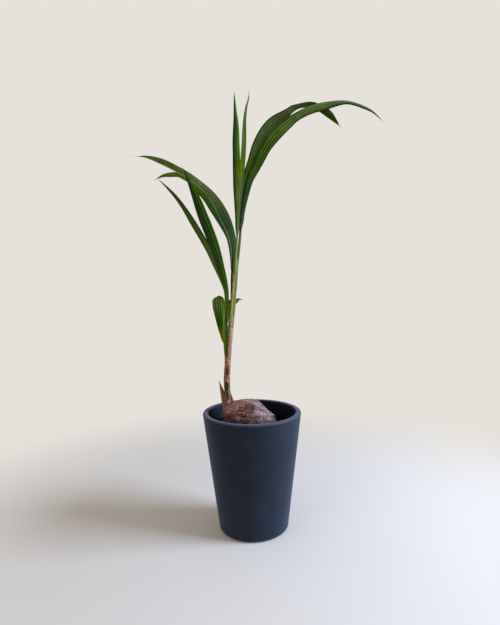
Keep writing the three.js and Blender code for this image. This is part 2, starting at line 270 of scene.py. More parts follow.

# Leaves, as the solids have them. The stalk runs from the stem to the parting of the lobes, the blade
# starts at station blade_from of it, and a lobe's tail goes on along its inner edge. Widths and the
# directions from midrib to outer edge stand at even steps from the blade's start to its tip.
# Tones are a lobe's colours along it, and they carry painted light: painted sheen and highlights where a
# lobe faces the light, and painted shade where it lies in shade. Shades are painted light and shade across
# the leaf, from the first lobe's outer edge (0) to the second's (1). Furrow is how dark and how wide the
# painted shade in the valleys of the pleats is. A dark rib tone is painted shade in the midrib's valley.
LEAVES = {
    "right": {
        "stalk": [
            (-43, -1, 737), (-39.5, -1, 773), (-36, 1, 809), (-25, 2, 898), (-20, 4, 975),
            (-3, 6, 1060), (20, 6, 1112), (44, 6, 1164), (75, 8, 1205), (124, 10, 1245),
        ],
        "blade_from": 3,
        "stalk_radius": (4.6, 1.8),
        "rib_shows": 0,
        "pleats": 4,
        "bow": 0.08,
        "lobes": {
            "short": {
                "tail": [
                    (137, 14, 1260), (150, 17, 1270), (169, 21, 1276), (189, 24, 1276),
                    (211, 27, 1268), (245, 31, 1245), (283, 34, 1220),
                ],
                "widths": [5, 9, 14, 20, 26, 32, 36.5, 39, 39, 38, 36, 28, 2.4],
                "across": [
                    (-0.14, -0.99, 0.04), (-0.17, -0.98, 0.05), (-0.27, -0.96, 0.07),
                    (-0.42, -0.9, 0.12), (-0.52, -0.82, 0.22), (-0.56, -0.78, 0.28),
                    (-0.54, -0.76, 0.37), (-0.46, -0.75, 0.47), (-0.26, -0.92, 0.27),
                    (0.1, -0.99, 0.0), (0.2, -0.97, 0.1), (0.34, -0.88, 0.33), (0.4, -0.8, 0.4),
                ],
                "tones_and_painted_light": [
                    (0.04, "#98d487"), (0.18, "#42850d"), (0.35, "#88c017"), (0.55, "#bad46f"),
                    (0.75, "#bdd471"), (0.86, "#9fd40d"), (0.96, "#98d40d"),
                ],
                "thread": 14,
            },
            "long": {
                "tail": [
                    (159, 2, 1262), (198, -8, 1274), (238, -18, 1277.5), (284, -32, 1273),
                    (326, -44, 1257), (358, -52, 1238), (386, -60, 1207),
                ],
                "widths": [9, 17.5, 23.5, 34.5, 43, 36, 37, 28, 3],
                "across": [
                    (0.6, -0.8, 0), (0.7, -0.65, -0.3), (0.75, -0.5, -0.45), (0.6, -0.5, -0.6),
                    (0.3, -0.6, -0.75), (0.1, -0.62, -0.78), (0, -0.86, -0.5), (-0.2, -0.7, -0.7),
                ],
                "tones_and_painted_light": [
                    (0.04, "#c1d4bc"), (0.18, "#82b16d"), (0.35, "#77ad30"), (0.55, "#a1c967"),
                    (0.75, "#9dc470"), (0.86, "#789c60"), (0.96, "#62782c"),
                ],
                "thread": 5,
            },
        },
        "painted_light_across": [
            (0, 0.1), (0.1, 0.3), (0.2, 0.24), (0.3, 0.2), (0.4, 0.33), (0.5, 0.25), (0.6, 1),
            (0.7, 0.82), (0.8, 0.78), (0.9, 0.68), (1, 0.12),
        ],
        "rib_tone_with_painted_shade": "#0c1c04",
        "painted_furrow_shade": (0.12, 1),
        "stalk_tone": "#546a2c",
    },
    "spear": {
        "stalk": [
            (-41.7, -8, 785), (-39.4, -10.5, 832), (-34.4, -12, 885), (-31, -13, 967),
            (-27, -14, 1031), (-20, -14, 1117),
        ],
        "blade_from": 2,
        "stalk_radius": (4.2, 1.6),
        "rib_shows": 0.8,
        "pleats": 3,
        "bow": 0.1,
        "lobes": {
            "left": {
                "tail": [(-20, -12, 1167), (-21, -10, 1214), (-26, -7, 1260), (-33, -3, 1317)],
                "widths": [5.8, 6.8, 12.3, 18.3, 24, 25, 20.5, 11, 2.4],
                "across": [
                    (-0.85, -0.5, 0), (-0.85, -0.5, 0), (-0.85, -0.5, 0), (-0.85, -0.5, 0),
                    (-0.9, -0.3, 0),
                ],
                "tones_and_painted_light": [
                    (0.1, "#9ec826"), (0.3, "#b1d453"), (0.5, "#90c30d"), (0.7, "#95d453"),
                    (0.92, "#9ad46c"),
                ],
                "thread": 4,
            },
            "right": {
                "tail": [
                    (-16, -14, 1165), (-10, -16, 1231), (-3, -17, 1267), (5, -17, 1290), (9, -17, 1311),
                ],
                "widths": [9, 8.3, 12, 15.1, 18.5, 19, 14.7, 9, 2.4],
                "across": [
                    (0.8, -0.6, 0), (0.8, -0.6, 0), (0.8, -0.6, 0), (0.8, -0.6, 0), (0.85, -0.5, 0),
                ],
                "tones_and_painted_light": [
                    (0.1, "#aed495"), (0.3, "#abd486"), (0.5, "#a6d42e"), (0.7, "#8bc357"),
                    (0.92, "#93d462"),
                ],
                "thread": 12,
            },
        },
        "painted_light_across": [
            (0, 0.14), (0.1, 0.1), (0.2, 0.18), (0.3, 0.45), (0.4, 1), (0.46, 0.69), (0.5, 0.41),
            (0.54, 0.43), (0.62, 0.93), (0.74, 0.98), (0.88, 0.65), (1, 0.27),
        ],
        "rib_tone_with_painted_shade": "#c4e464",
        "painted_furrow_shade": (0.06, 0.85),
        "stalk_tone": "#88984e",
    },
    "left_high": {
        "stalk": [
            (-58, 2, 616), (-55, 1, 707), (-53.5, 1.5, 765), (-52, 2, 809), (-57, 6, 881),
            (-82, 12, 948), (-117, 20, 1016), (-169, 32, 1068),
        ],
        "blade_from": 2,
        "stalk_radius": (3.6, 1.6),
        "rib_shows": 0,
        "pleats": 5,
        "bow": -0.1,
        "lobes": {
            "lower": {
                "tail": [
                    (-193, 42, 1085), (-215, 50, 1099), (-244, 58, 1100), (-267, 64, 1094),
                    (-288, 68, 1080),
                ],
                "widths": [4, 12, 22.5, 29, 30.5, 25.5, 13.5, 15.5, 2.4],
                "across": [
                    (-0.35, 0.93, 0), (-0.34, 0.93, 0), (-0.3, 0.95, 0), (-0.38, 0.89, -0.13),
                    (-0.53, 0.76, -0.29), (-0.49, 0.74, -0.43), (-0.34, 0.68, -0.6),
                    (-0.15, 0.48, -0.83), (0.1, 0.4, -0.9),
                ],
                "tones_and_painted_light": [
                    (0.1, "#51805a"), (0.35, "#5b9660"), (0.6, "#6a9613"), (0.8, "#90b32a"),
                    (0.95, "#839a0d"),
                ],
                "thread": 4,
            },
            "upper": {
                "tail": [(-213, 36, 1095), (-264, 40, 1122), (-307, 42, 1141), (-336, 43, 1147)],
                "widths": [4, 10, 26, 34, 27, 21.5, 24, 21, 2.4],
                "across": [
                    (0.8, 0.55, 0.1), (0.8, 0.54, 0.15), (0.8, 0.5, 0.32), (0.71, 0.5, 0.48),
                    (0.59, 0.5, 0.61), (0.47, 0.5, 0.71), (0.35, 0.5, 0.77), (0.22, 0.5, 0.81),
                    (0.1, 0.5, 0.85),
                ],
                "tones_and_painted_light": [
                    (0.1, "#619d59"), (0.35, "#668d4e"), (0.6, "#bcd481"), (0.8, "#869e40"),
                    (0.95, "#789341"),
                ],
                "thread": 18,
            },
        },
        "painted_light_across": [(0, 0.29), (0.2, 0.98), (0.42, 1), (0.5, 0.45), (0.58, 0.52), (0.8, 0.73), (1, 0.7)],
        "rib_tone_with_painted_shade": "#a8c098",
        "painted_furrow_shade": (0.28, 1),
        # This stalk's dark tone is painted shade, for the shaded side of the stalk at the left of the stem
        "stalk_tone": "#26320f",
    },
    "left_low": {
        "stalk": [
            (-72.6, -1, 530), (-72, -5, 550), (-71.3, -9, 587), (-70.7, -11, 623), (-70.4, -12.5, 660),
            (-69.8, -15, 699), (-73, -18, 738), (-95, -28, 806), (-117, -42, 873),
        ],
        "blade_from": 3,
        "stalk_radius": (3.6, 1.6),
        "rib_shows": 0,
        "pleats": 4,
        "bow": -0.1,
        "lobes": {
            "lower": {
                "tail": [(-169, -54, 965), (-208, -57, 1017), (-257, -60, 1062)],
                "widths": [5, 6.5, 11, 20.5, 27, 30, 27.5, 20.5, 13.5, 2.4],
                "across": [
                    (-0.8, 0.6, 0), (-0.75, 0.65, 0), (-0.5, 0.86, 0), (-0.41, 0.89, 0),
                    (-0.56, 0.81, -0.06), (-0.61, 0.75, -0.17), (-0.58, 0.72, -0.3),
                    (-0.53, 0.76, -0.34), (-0.47, 0.79, -0.37), (-0.4, 0.8, -0.4),
                ],
                "tones_and_painted_light": [(0.1, "#a1d435"), (0.35, "#7b9746"), (0.65, "#5e8233"), (0.92, "#606b0d")],
                "thread": 6,
            },
            "upper": {
                "tail": [(-143, -62, 946), (-157, -78, 1000), (-169, -94, 1046), (-179, -106, 1080)],
                "widths": [5, 6.5, 12, 21.5, 29.5, 33.5, 34.5, 29, 16.5, 2.4],
                "across": [
                    (0.8, 0.6, 0), (0.8, 0.6, 0), (0.77, 0.58, 0.1), (0.8, 0.55, 0.2),
                    (0.82, 0.51, 0.23), (0.82, 0.5, 0.27), (0.82, 0.5, 0.3), (0.81, 0.5, 0.32),
                    (0.78, 0.5, 0.35), (0.75, 0.5, 0.4),
                ],
                "tones_and_painted_light": [(0.1, "#99cc0d"), (0.35, "#7db10d"), (0.65, "#538d0d"), (0.92, "#74a60d")],
                "thread": 12,
            },
        },
        "painted_light_across": [(0, 0.7), (0.2, 0.86), (0.42, 1), (0.5, 0.33), (0.58, 0.03), (0.8, 0.28), (1, 0.33)],
        "rib_tone_with_painted_shade": "#24400a",
        "painted_furrow_shade": (0.3, 1),
        "stalk_tone": "#2f4a12",
    },
    "first": {
        "stalk": [
            (-75.8, 1, 530), (-77.6, -3, 549), (-78.5, -6, 575), (-80.2, -9, 600), (-81.3, -10, 623),
            (-80, -11, 648), (-77.3, -11, 672), (-76, -8, 699),
        ],
        "blade_from": 1,
        "stalk_radius": (3.6, 1.4),
        "rib_shows": 0.5,
        "pleats": 5,
        "bow": 0.11,
        "lobes": {
            "left": {
                "tail": [(-76, -5, 711), (-77, -2, 722)],
                "widths": [1, 3, 8, 12, 17, 23, 30, 35, 36.5, 36],
                "across": [
                    (-0.9, -0.4, 0.1), (-0.9, -0.39, 0.1), (-0.92, -0.34, 0.11), (-0.92, -0.29, 0.15),
                    (-0.95, -0.19, 0.14), (-0.9, 0, -0.1),
                ],
                "tones_and_painted_light": [(0.15, "#d4d113"), (0.5, "#499a0d"), (0.9, "#a2c648")],
                "round": 18,
            },
            "right": {
                "tail": [(-64, 8, 707), (-50, 20, 708), (-32, 28, 711), (-21, 34, 704)],
                "widths": [7, 9, 11, 16, 23, 29, 30, 27, 17, 3],
                "across": [
                    (0.9, 0.4, 0), (0.87, 0.46, 0), (0.71, 0.69, 0), (0.6, 0.81, 0),
                    (0.62, 0.73, -0.16), (0.19, 0.49, -0.87), (0.1, 0.3, -0.95),
                ],
                "tones_and_painted_light": [(0.15, "#b6d40d"), (0.5, "#90d47d"), (0.9, "#6c8050")],
                "thread": 3,
            },
        },
        "painted_light_across": [(0, 0.49), (0.2, 0.28), (0.42, 0.45), (0.5, 0.3), (0.58, 0.75), (0.8, 1), (1, 1)],
        "rib_tone_with_painted_shade": "#98b028",
        "painted_furrow_shade": (0.4, 1),
        "stalk_tone": "#76901e",
    },
}
# Blades in mm: two main folds as deep as a share of the width, pleats that have their full depth from
# full_width on, a ripple at the outer edge, an inner edge that leaves the midrib past the parting, a start
# that narrows into the stalk, and a tip that is pointed or, for a lobe that says so, round
BLADE = {
    "row": 5,
    "columns_a_pleat": 4,
    "main_folds": 2,
    "main_depth": 0.045,
    "pleat_depth": 2.6,
    "full_width": 26,
    "ripple": 1.4,
    "ripple_length": 55,
    "start": 0.01,
    "inset": 0.8,
    "inset_over": 40,
    "merge": 45,
    "merge_width": 0.25,
    "tip": 16,
    "tip_least": 0.12,
    "round_inner": 0.42,
    "round_outer": 0.44,
    "round_least": 0.0004,
    "thick": 0.7,
    "veins_a_pleat": 3,
}
# Stalks and ribs: how deep the channel is as a share of the radius, how thin they end and from which
# share of the length on, and over which share a rib sinks behind its blade
RIB = {
    "sides": 14,
    "step": 5,
    "channel": 0.45,
    "tip": 0.15,
    "tip_from": 0.8,
    "tip_over": 0.2,
    "sink_over": 0.15,
}
# Threads in mm: they droop by a share of their length, and are rooted in the blade's tip
THREAD = {"radius": 0.4, "tip": 0.3, "steps": 8, "sides": 5, "droop": 0.3, "rooted": 3}

# Camera: where it stands, how it is pitched and rolled, and its focal length on a 36 mm frame
CAMERA = {"place": (0, -1508, 780.6), "pitch": 0.0746, "roll": 0.0193, "lens": 28.8}
# Lights and floor, in metres: where a light stands and points, its size and its colour
LIGHTS = {
    "window": ((2.9, -0.6, 1.65), (0, 0, 0.65), 1.6, "#d2e2ff"),
    "room_bounce": ((-1.9, -2.1, 1.9), (0, 0, 0.7), 2.2, "#ffe8d0"),
}
BOUNCE_POWER = 16
FLOOR = {"radius": 4, "sides": 96, "full_to": 0.5, "gone_from": 1.5}

# In how many straight pieces the length of a curve, or of a thin strand's curve, is measured
CURVE_PIECES = 600
STRAND_PIECES = 24
# A way that no strand runs along, so that each can be turned about it
ASKEW = (0.31, 0.57, 0.76)
MARK = "mark"
SAME_CORNER = 0.001 * MM
# Of a Mix node's sockets, 0 is the share, 6 and 7 are the colours, and output 2 is the mixed one
MIXED = 2


def linear(code):
    """An sRGB hex colour as the linear numbers that a shader wants."""
    shares = [int(code[i:i + 2], 16) / 255 for i in (1, 3, 5)]
    return (*(s / 12.92 if s <= 0.04045 else ((s + 0.055) / 1.055) ** 2.4 for s in shares), 1.0)


def blend(a, b, share):
    return a + (b - a) * share


def smooth(share):
    """0 to 1 with soft ends, held outside."""
    held = min(max(share, 0), 1)
    return held * held * (3 - 2 * held)


def zigzag(turns):
    """0 at whole numbers, 1 half way between them, straight in between."""
    return 1 - abs(2 * (turns % 1) - 1)


def hermite(p, q, from_p, from_q, t):
    """The cubic from p to q whose slopes there are from_p and from_q."""
    return (
        p
        + from_p * t
        + (3 * (q - p) - 2 * from_p - from_q) * t**2
        + (2 * (p - q) + from_p + from_q) * t**3
    )


def reading(values, share):
    """Numbers that stand at even steps, read smoothly at a share of the way."""
    last = len(values) - 1
    i = min(int(share * last), last - 1)
    before, after = values[max(i - 1, 0)], values[min(i + 2, last)]
    p, q = values[i], values[i + 1]
    return hermite(p, q, (q - before) / 2, (after - p) / 2, share * last - i)


class Curve:
    """A centripetal Catmull-Rom curve, read by share of its length and straight on past its ends."""

    def __init__(self, points, pieces=CURVE_PIECES):
        self.points = [Vector(p) for p in points]
        self.pieces = pieces
        steps = [self.at(i / pieces) for i in range(pieces + 1)]
        self.lengths = [0.0]
        for a, b in zip(steps, steps[1:]):
            self.lengths.append(self.lengths[-1] + (b - a).length)
        self.length = self.lengths[-1]

    def at(self, t):
        points, last = self.points, len(self.points) - 1
        i = min(int(t * last), last - 1)
        p, q = points[i], points[i + 1]
        before = points[i - 1] if i > 0 else 2 * p - q
        after = points[i + 2] if i + 2 <= last else 2 * q - p
        middle = math.sqrt((q - p).length) or 1.0
        early = math.sqrt((p - before).length) or middle
        late = math.sqrt((after - q).length) or middle
        from_p = (p - before) / early - (q - before) / (early + middle) + (q - p) / middle
        from_q = (q - p) / middle - (after - p) / (middle + late) + (after - q) / late
        return hermite(p, q, from_p * middle, from_q * middle, t * last - i)

    def turn_of(self, share):
        """The curve's own count at a share of its length."""
        target = min(max(share, 0), 1) * self.length
        i = min(max(bisect_left(self.lengths, target), 1), self.pieces)
        low, high = self.lengths[i - 1], self.lengths[i]
        return (i - 1 + (target - low) / (high - low)) / self.pieces

    @cache
    def tangent(self, share):
        step = 0.5 / self.pieces
        t = self.turn_of(share)
        return (self.at(min(t + step, 1)) - self.at(max(t - step, 0))).normalized()

    @cache
    def point(self, share):
        held = min(max(share, 0), 1)
        return self.at(self.turn_of(held)) + self.tangent(held) * ((share - held) * self.length)


def square_to(along, out):
    """out turned square to along, and the normal of both."""
    out = (out - along * out.dot(along)).normalized()
    return out, along.cross(out)


def grid(mesh, columns, rows, place, mark=None):
    """Adds a grid whose corners go where place(across, along) says, in mm, with both as its UV map. Mark
    gives each corner a number from 0 to 1 for the material."""
    uv = mesh.loops.layers.uv.verify()
    layer = mesh.verts.layers.float.get(MARK) or mesh.verts.layers.float.new(MARK)
    made = bmesh.ops.create_grid(mesh, x_segments=columns, y_segments=rows, size=0.5)["verts"]
    shares = {vert: (vert.co.x + 0.5, vert.co.y + 0.5) for vert in made}
    for vert, (across, along) in shares.items():
        vert.co = Vector(place(across, along)) * MM
        vert[layer] = mark(across, along) if mark else 0
        for loop in vert.link_loops:
            loop[uv].uv = (across, along)
    return made


def tube(mesh, sides, steps, place, mark=None):
    """Adds a closed tube: place(turn, along) gives its corners, and both ends are capped."""
    made = grid(mesh, sides, steps, place, mark)
    bmesh.ops.remove_doubles(mesh, verts=made, dist=SAME_CORNER)
    made = [vert for vert in made if vert.is_valid]
    edges = {edge for vert in made for edge in vert.link_edges if edge.is_boundary}
    bmesh.ops.holes_fill(mesh, edges=list(edges), sides=0)
    faces = {face for vert in made for face in vert.link_faces}
    bmesh.ops.recalc_face_normals(mesh, faces=list(faces))
    return made


def strand(mesh, points, radius, tip=0.3, sides=FIBRES["sides"], steps=FIBRES["steps"]):
    """Adds a thin tapering tube through points."""
    curve = Curve(points, STRAND_PIECES)

    def place(turn, along):
        out, normal = square_to(curve.tangent(along), Vector(ASKEW))
        angle = math.tau * turn
        thick = radius * blend(1, tip, along)
        return curve.point(along) + (out * math.cos(angle) + normal * math.sin(angle)) * thick

    return tube(mesh, sides, steps, place)


def finish_piece(name, mesh, material, replaced=(), sharp=None):
    """Makes a smooth piece of a mesh, which rides on the part's one body."""
    data = bpy.data.meshes.new(name)
    mesh.to_mesh(data)
    mesh.free()
    data.shade_smooth()
    if sharp is not None:
        data.set_sharp_from_angle(angle=math.radians(sharp))
    data.materials.append(material)
    piece = bpy.data.objects.new(name, data)
    bpy.context.scene.collection.objects.link(piece)
    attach(piece, "root")
    if replaced:
        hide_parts(*replaced)
    return piece


def give_thickness(piece, thick):
    """A live Solidify modifier, half of the thickness to each side."""
    solidify = piece.modifiers.new("Thickness", "SOLIDIFY")
    solidify.thickness = thick * MM
    solidify.offset = 0


def add(tree, kind, inputs=None, out=None, stops=None, **settings):
    """Adds the node that Blender calls ShaderNode and then kind, with its settings, its ramp's stops, and
    its inputs as links, numbers or hex colours. Gives the node, or the output of it that out names."""
    made = tree.nodes.new(f"ShaderNode{kind}")
    for name, value in settings.items():
        setattr(made, name, value)
    if stops:
        elements = made.color_ramp.elements
        while len(elements) < len(stops):
            elements.new(1)
        for element, (position, colour) in zip(elements, stops):
            element.position = position
            element.color = linear(colour) if isinstance(colour, str) else (colour, colour, colour, 1)
    for socket, value in (inputs or {}).items():
        if isinstance(value, bpy.types.NodeSocket):
            tree.links.new(value, made.inputs[socket])
        else:
            made.inputs[socket].default_value = linear(value) if isinstance(value, str) else value
    return made if out is None else made.outputs[out]


def new_material(name):
    """A material with an empty tree, and the tree."""
    material = bpy.data.materials.new(name)
    material.use_nodes = True
    material.node_tree.nodes.clear()
    return material, material.node_tree


def pot_material(colour):
    """Fibre clay with a matt slate coat: a fine grit that breaks up the light, next to no gloss but a soft
    bluish bloom, a paler band on the rim's top as a painted highlight, and painted shade that darkens the
    inside."""
    material, tree = new_material("matt_slate_fibre_clay")
    space = add(tree, "TexCoord", out="Object")
    height = add(tree, "SeparateXYZ", {"Vector": space}, "Z")
    # Real grit is about 0.3 mm, which is too fine to show, so it is drawn coarser
    grit = add(
        tree, "TexNoise",
        {"Vector": space, "Scale": 1 / (1.6 * MM), "Detail": 3, "Roughness": 0.6}, "Fac",
    )
    cloud = add(
        tree, "TexNoise",
        {"Vector": space, "Scale": 1 / (70 * MM), "Detail": 3, "Roughness": 0.6}, "Fac",
    )
    bluer = add(tree, "ValToRGB", {"Fac": cloud}, "Color", [(0.35, 0.0), (0.65, 0.25)])
    darker = add(tree, "ValToRGB", {"Fac": grit}, "Color", [(0.35, 0.0), (0.75, 0.3)])
    # A paler band on the top of the rim: a painted highlight on the lip
    rim_from = (POT["height"] - POT["painted_rim_highlight"]) * MM
    rim = add(tree, "Math", {0: height, 1: rim_from}, "Value", operation="GREATER_THAN")
    painted_rim_highlight = add(tree, "Math", {0: rim, 1: 0.12}, "Value", operation="MULTIPLY")
    flat = add(tree, "VectorMath", {0: space, 1: (1, 1, 0)}, "Vector", operation="MULTIPLY")
    away = add(tree, "VectorMath", {0: flat}, "Value", operation="LENGTH")
    slope = (POT["top"] - POT["base"]) / POT["height"]
    foot = (pot_inner(0) + POT["inner_margin"]) * MM
    wall = add(tree, "Math", {0: height, 1: slope, 2: foot}, "Value", operation="MULTIPLY_ADD")
    inside = add(tree, "Math", {0: away, 1: wall}, "Value", operation="LESS_THAN")
    # Painted shade inside the pot, darker downwards from the rim to the mix
    span = {1: POT["height"] * MM, 2: MIX["edge"] * MM, 3: 0.7, 4: 0.97}
    deep = add(tree, "MapRange", {"Value": height, **span}, "Result")
    painted_shade = add(tree, "Math", {0: inside, 1: deep}, "Value", operation="MULTIPLY")
    tone = colour
    for share, over in ((bluer, "#27334a"), (darker, "#14181f"), (painted_rim_highlight, "#94918f"), (painted_shade, "#020a1e")):
        tone = add(tree, "Mix", {0: share, 6: tone, 7: over}, MIXED, data_type="RGBA")
    # The bloom is only on the outside
    bloom = add(tree, "Math", {0: inside, 1: -0.36, 2: 0.36}, "Value", operation="MULTIPLY_ADD")
    shader = add(
        tree, "BsdfPrincipled",
        {
            "Base Color": tone, "Roughness": 0.6, "Specular IOR Level": 0.17,
            "Sheen Weight": bloom, "Sheen Roughness": 0.45, "Sheen Tint": "#98b0d4",
            "Normal": add(tree, "Bump", {"Height": grit, "Distance": 0.12 * MM, "Strength": 0.6}, "Normal"),
        },
        "BSDF",
    )
    add(tree, "OutputMaterial", {"Surface": shader})
    return material


def mix_material():
    """Moist potting mix: peat with paler crumbs of bark, nearly black, partly its own tone and partly
    painted shade deep in the pot.
    """
    material, tree = new_material("moist_potting_mix")
    space = add(tree, "TexCoord", out="Object")
    crumbs = add(
        tree, "TexNoise",
        {"Vector": space, "Scale": 1 / (5 * MM), "Detail": 4, "Roughness": 0.6}, "Fac",
    )
    grit = add(
        tree, "TexNoise",
        {"Vector": space, "Scale": 1 / (1.4 * MM), "Detail": 4, "Roughness": 0.6}, "Fac",
    )
    # The near-black tones are partly the peat's own and partly painted shade of the pot's depth
    tone = add(
        tree, "ValToRGB", {"Fac": crumbs}, "Color", [(0.3, "#020202"), (0.6, "#050403"), (0.8, "#0c0907")],
    )
    shader = add(
        tree, "BsdfPrincipled",
        {
            "Base Color": tone, "Roughness": 0.95, "Specular IOR Level": 0.05,
            "Normal": add(tree, "Bump", {"Height": grit, "Distance": 0.7 * MM, "Strength": 1}, "Normal"),
        },
        "BSDF",
    )
    add(tree, "OutputMaterial", {"Surface": shader})
    return material


def dry_material(name, width, stops, roughness):
    """Dry, dull plant stuff in patches width mm across: bark, husk fibre and the net of sheath fibres."""
    material, tree = new_material(name)
    space = add(tree, "TexCoord", out="Object")
    patches = add(
        tree, "TexNoise",
        {"Vector": space, "Scale": 1 / (width * MM), "Detail": 4, "Roughness": 0.6}, "Fac",
    )
    tone = add(tree, "ValToRGB", {"Fac": patches}, "Color", stops)
    shader = add(tree, "BsdfPrincipled", {"Base Color": tone, "Roughness": roughness}, "BSDF")
    add(tree, "OutputMaterial", {"Surface": shader})
    return material


def chip_material():
    """Shreds of composted bark in the mix, a little browner than it."""
    return dry_material("composted_bark", 9, [(0.35, "#080503"), (0.7, "#17100b")], 0.9)


def fibre_material():
    """Loose husk fibre: dry, pale brown to grey."""
    return dry_material("loose_husk_fibre", 14, [(0.35, "#6a4a3e"), (0.65, "#c0b0b0")], 0.75)


def net_material():
    """The dry net of sheath fibres: pale straw to brown."""
    return dry_material("dry_sheath_net", 22, [(0.35, "#5a3c28"), (0.65, "#b8926e")], 0.75)


def husk_material():
    """Weathered coconut husk: red brown towards the shoot and greyed to mauve at the frayed end, the mauve
    partly weathering and partly a painted tint of cool light on the right and top. It is pale on the crests
    and dark in the splits, gaps and creases, as painted light and shade of its relief, with pale tufts as a
    painted highlight, and it is painted nearly black with shade where it meets the mix."""
    material, tree = new_material("weathered_coconut_husk")
    space = add(tree, "TexCoord", out="Object")
    split = add(tree, "SeparateXYZ", {"Vector": space})
    crest = add(tree, "Attribute", out="Fac", attribute_name=MARK)
    bend = add(
        tree, "TexNoise",
        {"Vector": space, "Scale": 1 / (24 * MM), "Detail": 2, "Roughness": 0.5}, "Color",
    )
    curled = add(
        tree, "VectorMath", {0: bend, 1: (11 * MM,) * 3, 2: space}, "Vector", operation="MULTIPLY_ADD",
    )
    # Husk fibres are 0.2 to 0.5 mm thick, which is too fine to show, so they are drawn as coarse bundles
    bundled = add(tree, "Mapping", {"Vector": curled, "Scale": (0.3, 1, 1)}, "Vector")
    fibre = add(
        tree, "TexNoise",
        {"Vector": bundled, "Scale": 1 / (1.7 * MM), "Detail": 5, "Roughness": 0.7}, "Fac",
    )
    matted = add(tree, "Mapping", {"Vector": curled, "Scale": (0.45, 1, 1)}, "Vector")
    tuft = add(
        tree, "TexNoise",
        {"Vector": matted, "Scale": 1 / (3.4 * MM), "Detail": 4, "Roughness": 0.65}, "Fac",
    )
    patch = add(
        tree, "TexNoise",
        {"Vector": space, "Scale": 1 / (16 * MM), "Detail": 4, "Roughness": 0.6}, "Fac",
    )
    red_brown = [(0.1, "#3a1e16"), (0.4, "#6c3e30"), (0.7, "#906254"), (1, "#b49080")]
    mauve_grey = [(0.1, "#3a2828"), (0.4, "#644e4e"), (0.7, "#907c7c"), (1, "#cec0c0")]
    # Along the crest mark the husk is dark in its splits and pale on its crests: painted shade and light of
    # its relief
    red = add(tree, "ValToRGB", {"Fac": crest}, "Color", red_brown)
    grey = add(tree, "ValToRGB", {"Fac": crest}, "Color", mauve_grey)
    # The husk greys from the shoot end to the frayed one, and sooner on top, in a patchy line: partly
    # its own weathering and partly a painted tint of the cool light that falls on its right and top
    rise = add(tree, "Math", {0: split.outputs["Z"], 1: 375 * MM}, "Value", operation="SUBTRACT")
    swing = add(tree, "Math", {0: patch, 1: 0.5}, "Value", operation="SUBTRACT")
    place = add(
        tree, "Math", {0: swing, 1: 70 * MM, 2: split.outputs["X"]}, "Value", operation="MULTIPLY_ADD",
    )
    place = add(tree, "Math", {0: rise, 1: 0.7, 2: place}, "Value", operation="MULTIPLY_ADD")
    weathered_and_painted_light = add(tree, "MapRange", {"Value": place, 1: -24 * MM, 2: 48 * MM}, "Result")
    # Dark gaps between the fibres are painted shade
    gap = add(tree, "ValToRGB", {"Fac": fibre}, "Color", [(0.34, 0.42), (0.47, 0.0)])
    # Pale tufts, paler on the right and top: a painted highlight where the light falls
    tufted = add(tree, "ValToRGB", {"Fac": tuft}, "Color", [(0.54, 0.0), (0.68, 0.8)])
    bright = add(tree, "Math", {0: weathered_and_painted_light, 1: 0.7, 2: 0.3}, "Value", operation="MULTIPLY_ADD")
    lit = add(tree, "Math", {0: tufted, 1: bright}, "Value", operation="MULTIPLY")
    # Dark creases between the tufts are painted shade
    between = add(tree, "ValToRGB", {"Fac": tuft}, "Color", [(0.36, 0.5), (0.46, 0.0)])
    crease = add(tree, "Math", {0: between, 1: weathered_and_painted_light}, "Value", operation="MULTIPLY")
    # Low down where the nut meets the mix, and more to the left, it is painted nearly black: painted shade
    # under the nut
    depth = add(
        tree, "Math", {0: place, 1: 0.25, 2: split.outputs["Z"]}, "Value", operation="MULTIPLY_ADD",
    )
    low = add(tree, "MapRange", {"Value": depth, 1: 356 * MM, 2: 338 * MM}, "Result")
    uneven = add(tree, "ValToRGB", {"Fac": patch}, "Color", [(0.38, 1.0), (0.62, 0.85)])
    painted_shade = add(tree, "Math", {0: low, 1: uneven}, "Value", operation="MULTIPLY")
    layers = ((weathered_and_painted_light, grey), (gap, "#22120e"), (lit, "#c0aeb0"), (crease, "#35252e"), (painted_shade, "#180806"))
    tone = red
    for share, over in layers:
        tone = add(tree, "Mix", {0: share, 6: tone, 7: over}, MIXED, data_type="RGBA")
    shader = add(
        tree, "BsdfPrincipled",
        {
            "Base Color": tone, "Roughness": 0.7, "Specular IOR Level": 0.25,
            "Normal": add(tree, "Bump", {"Height": fibre, "Distance": 1.2 * MM, "Strength": 1}, "Normal"),
        },
        "BSDF",
    )
    add(tree, "OutputMaterial", {"Surface": shader})
    return material


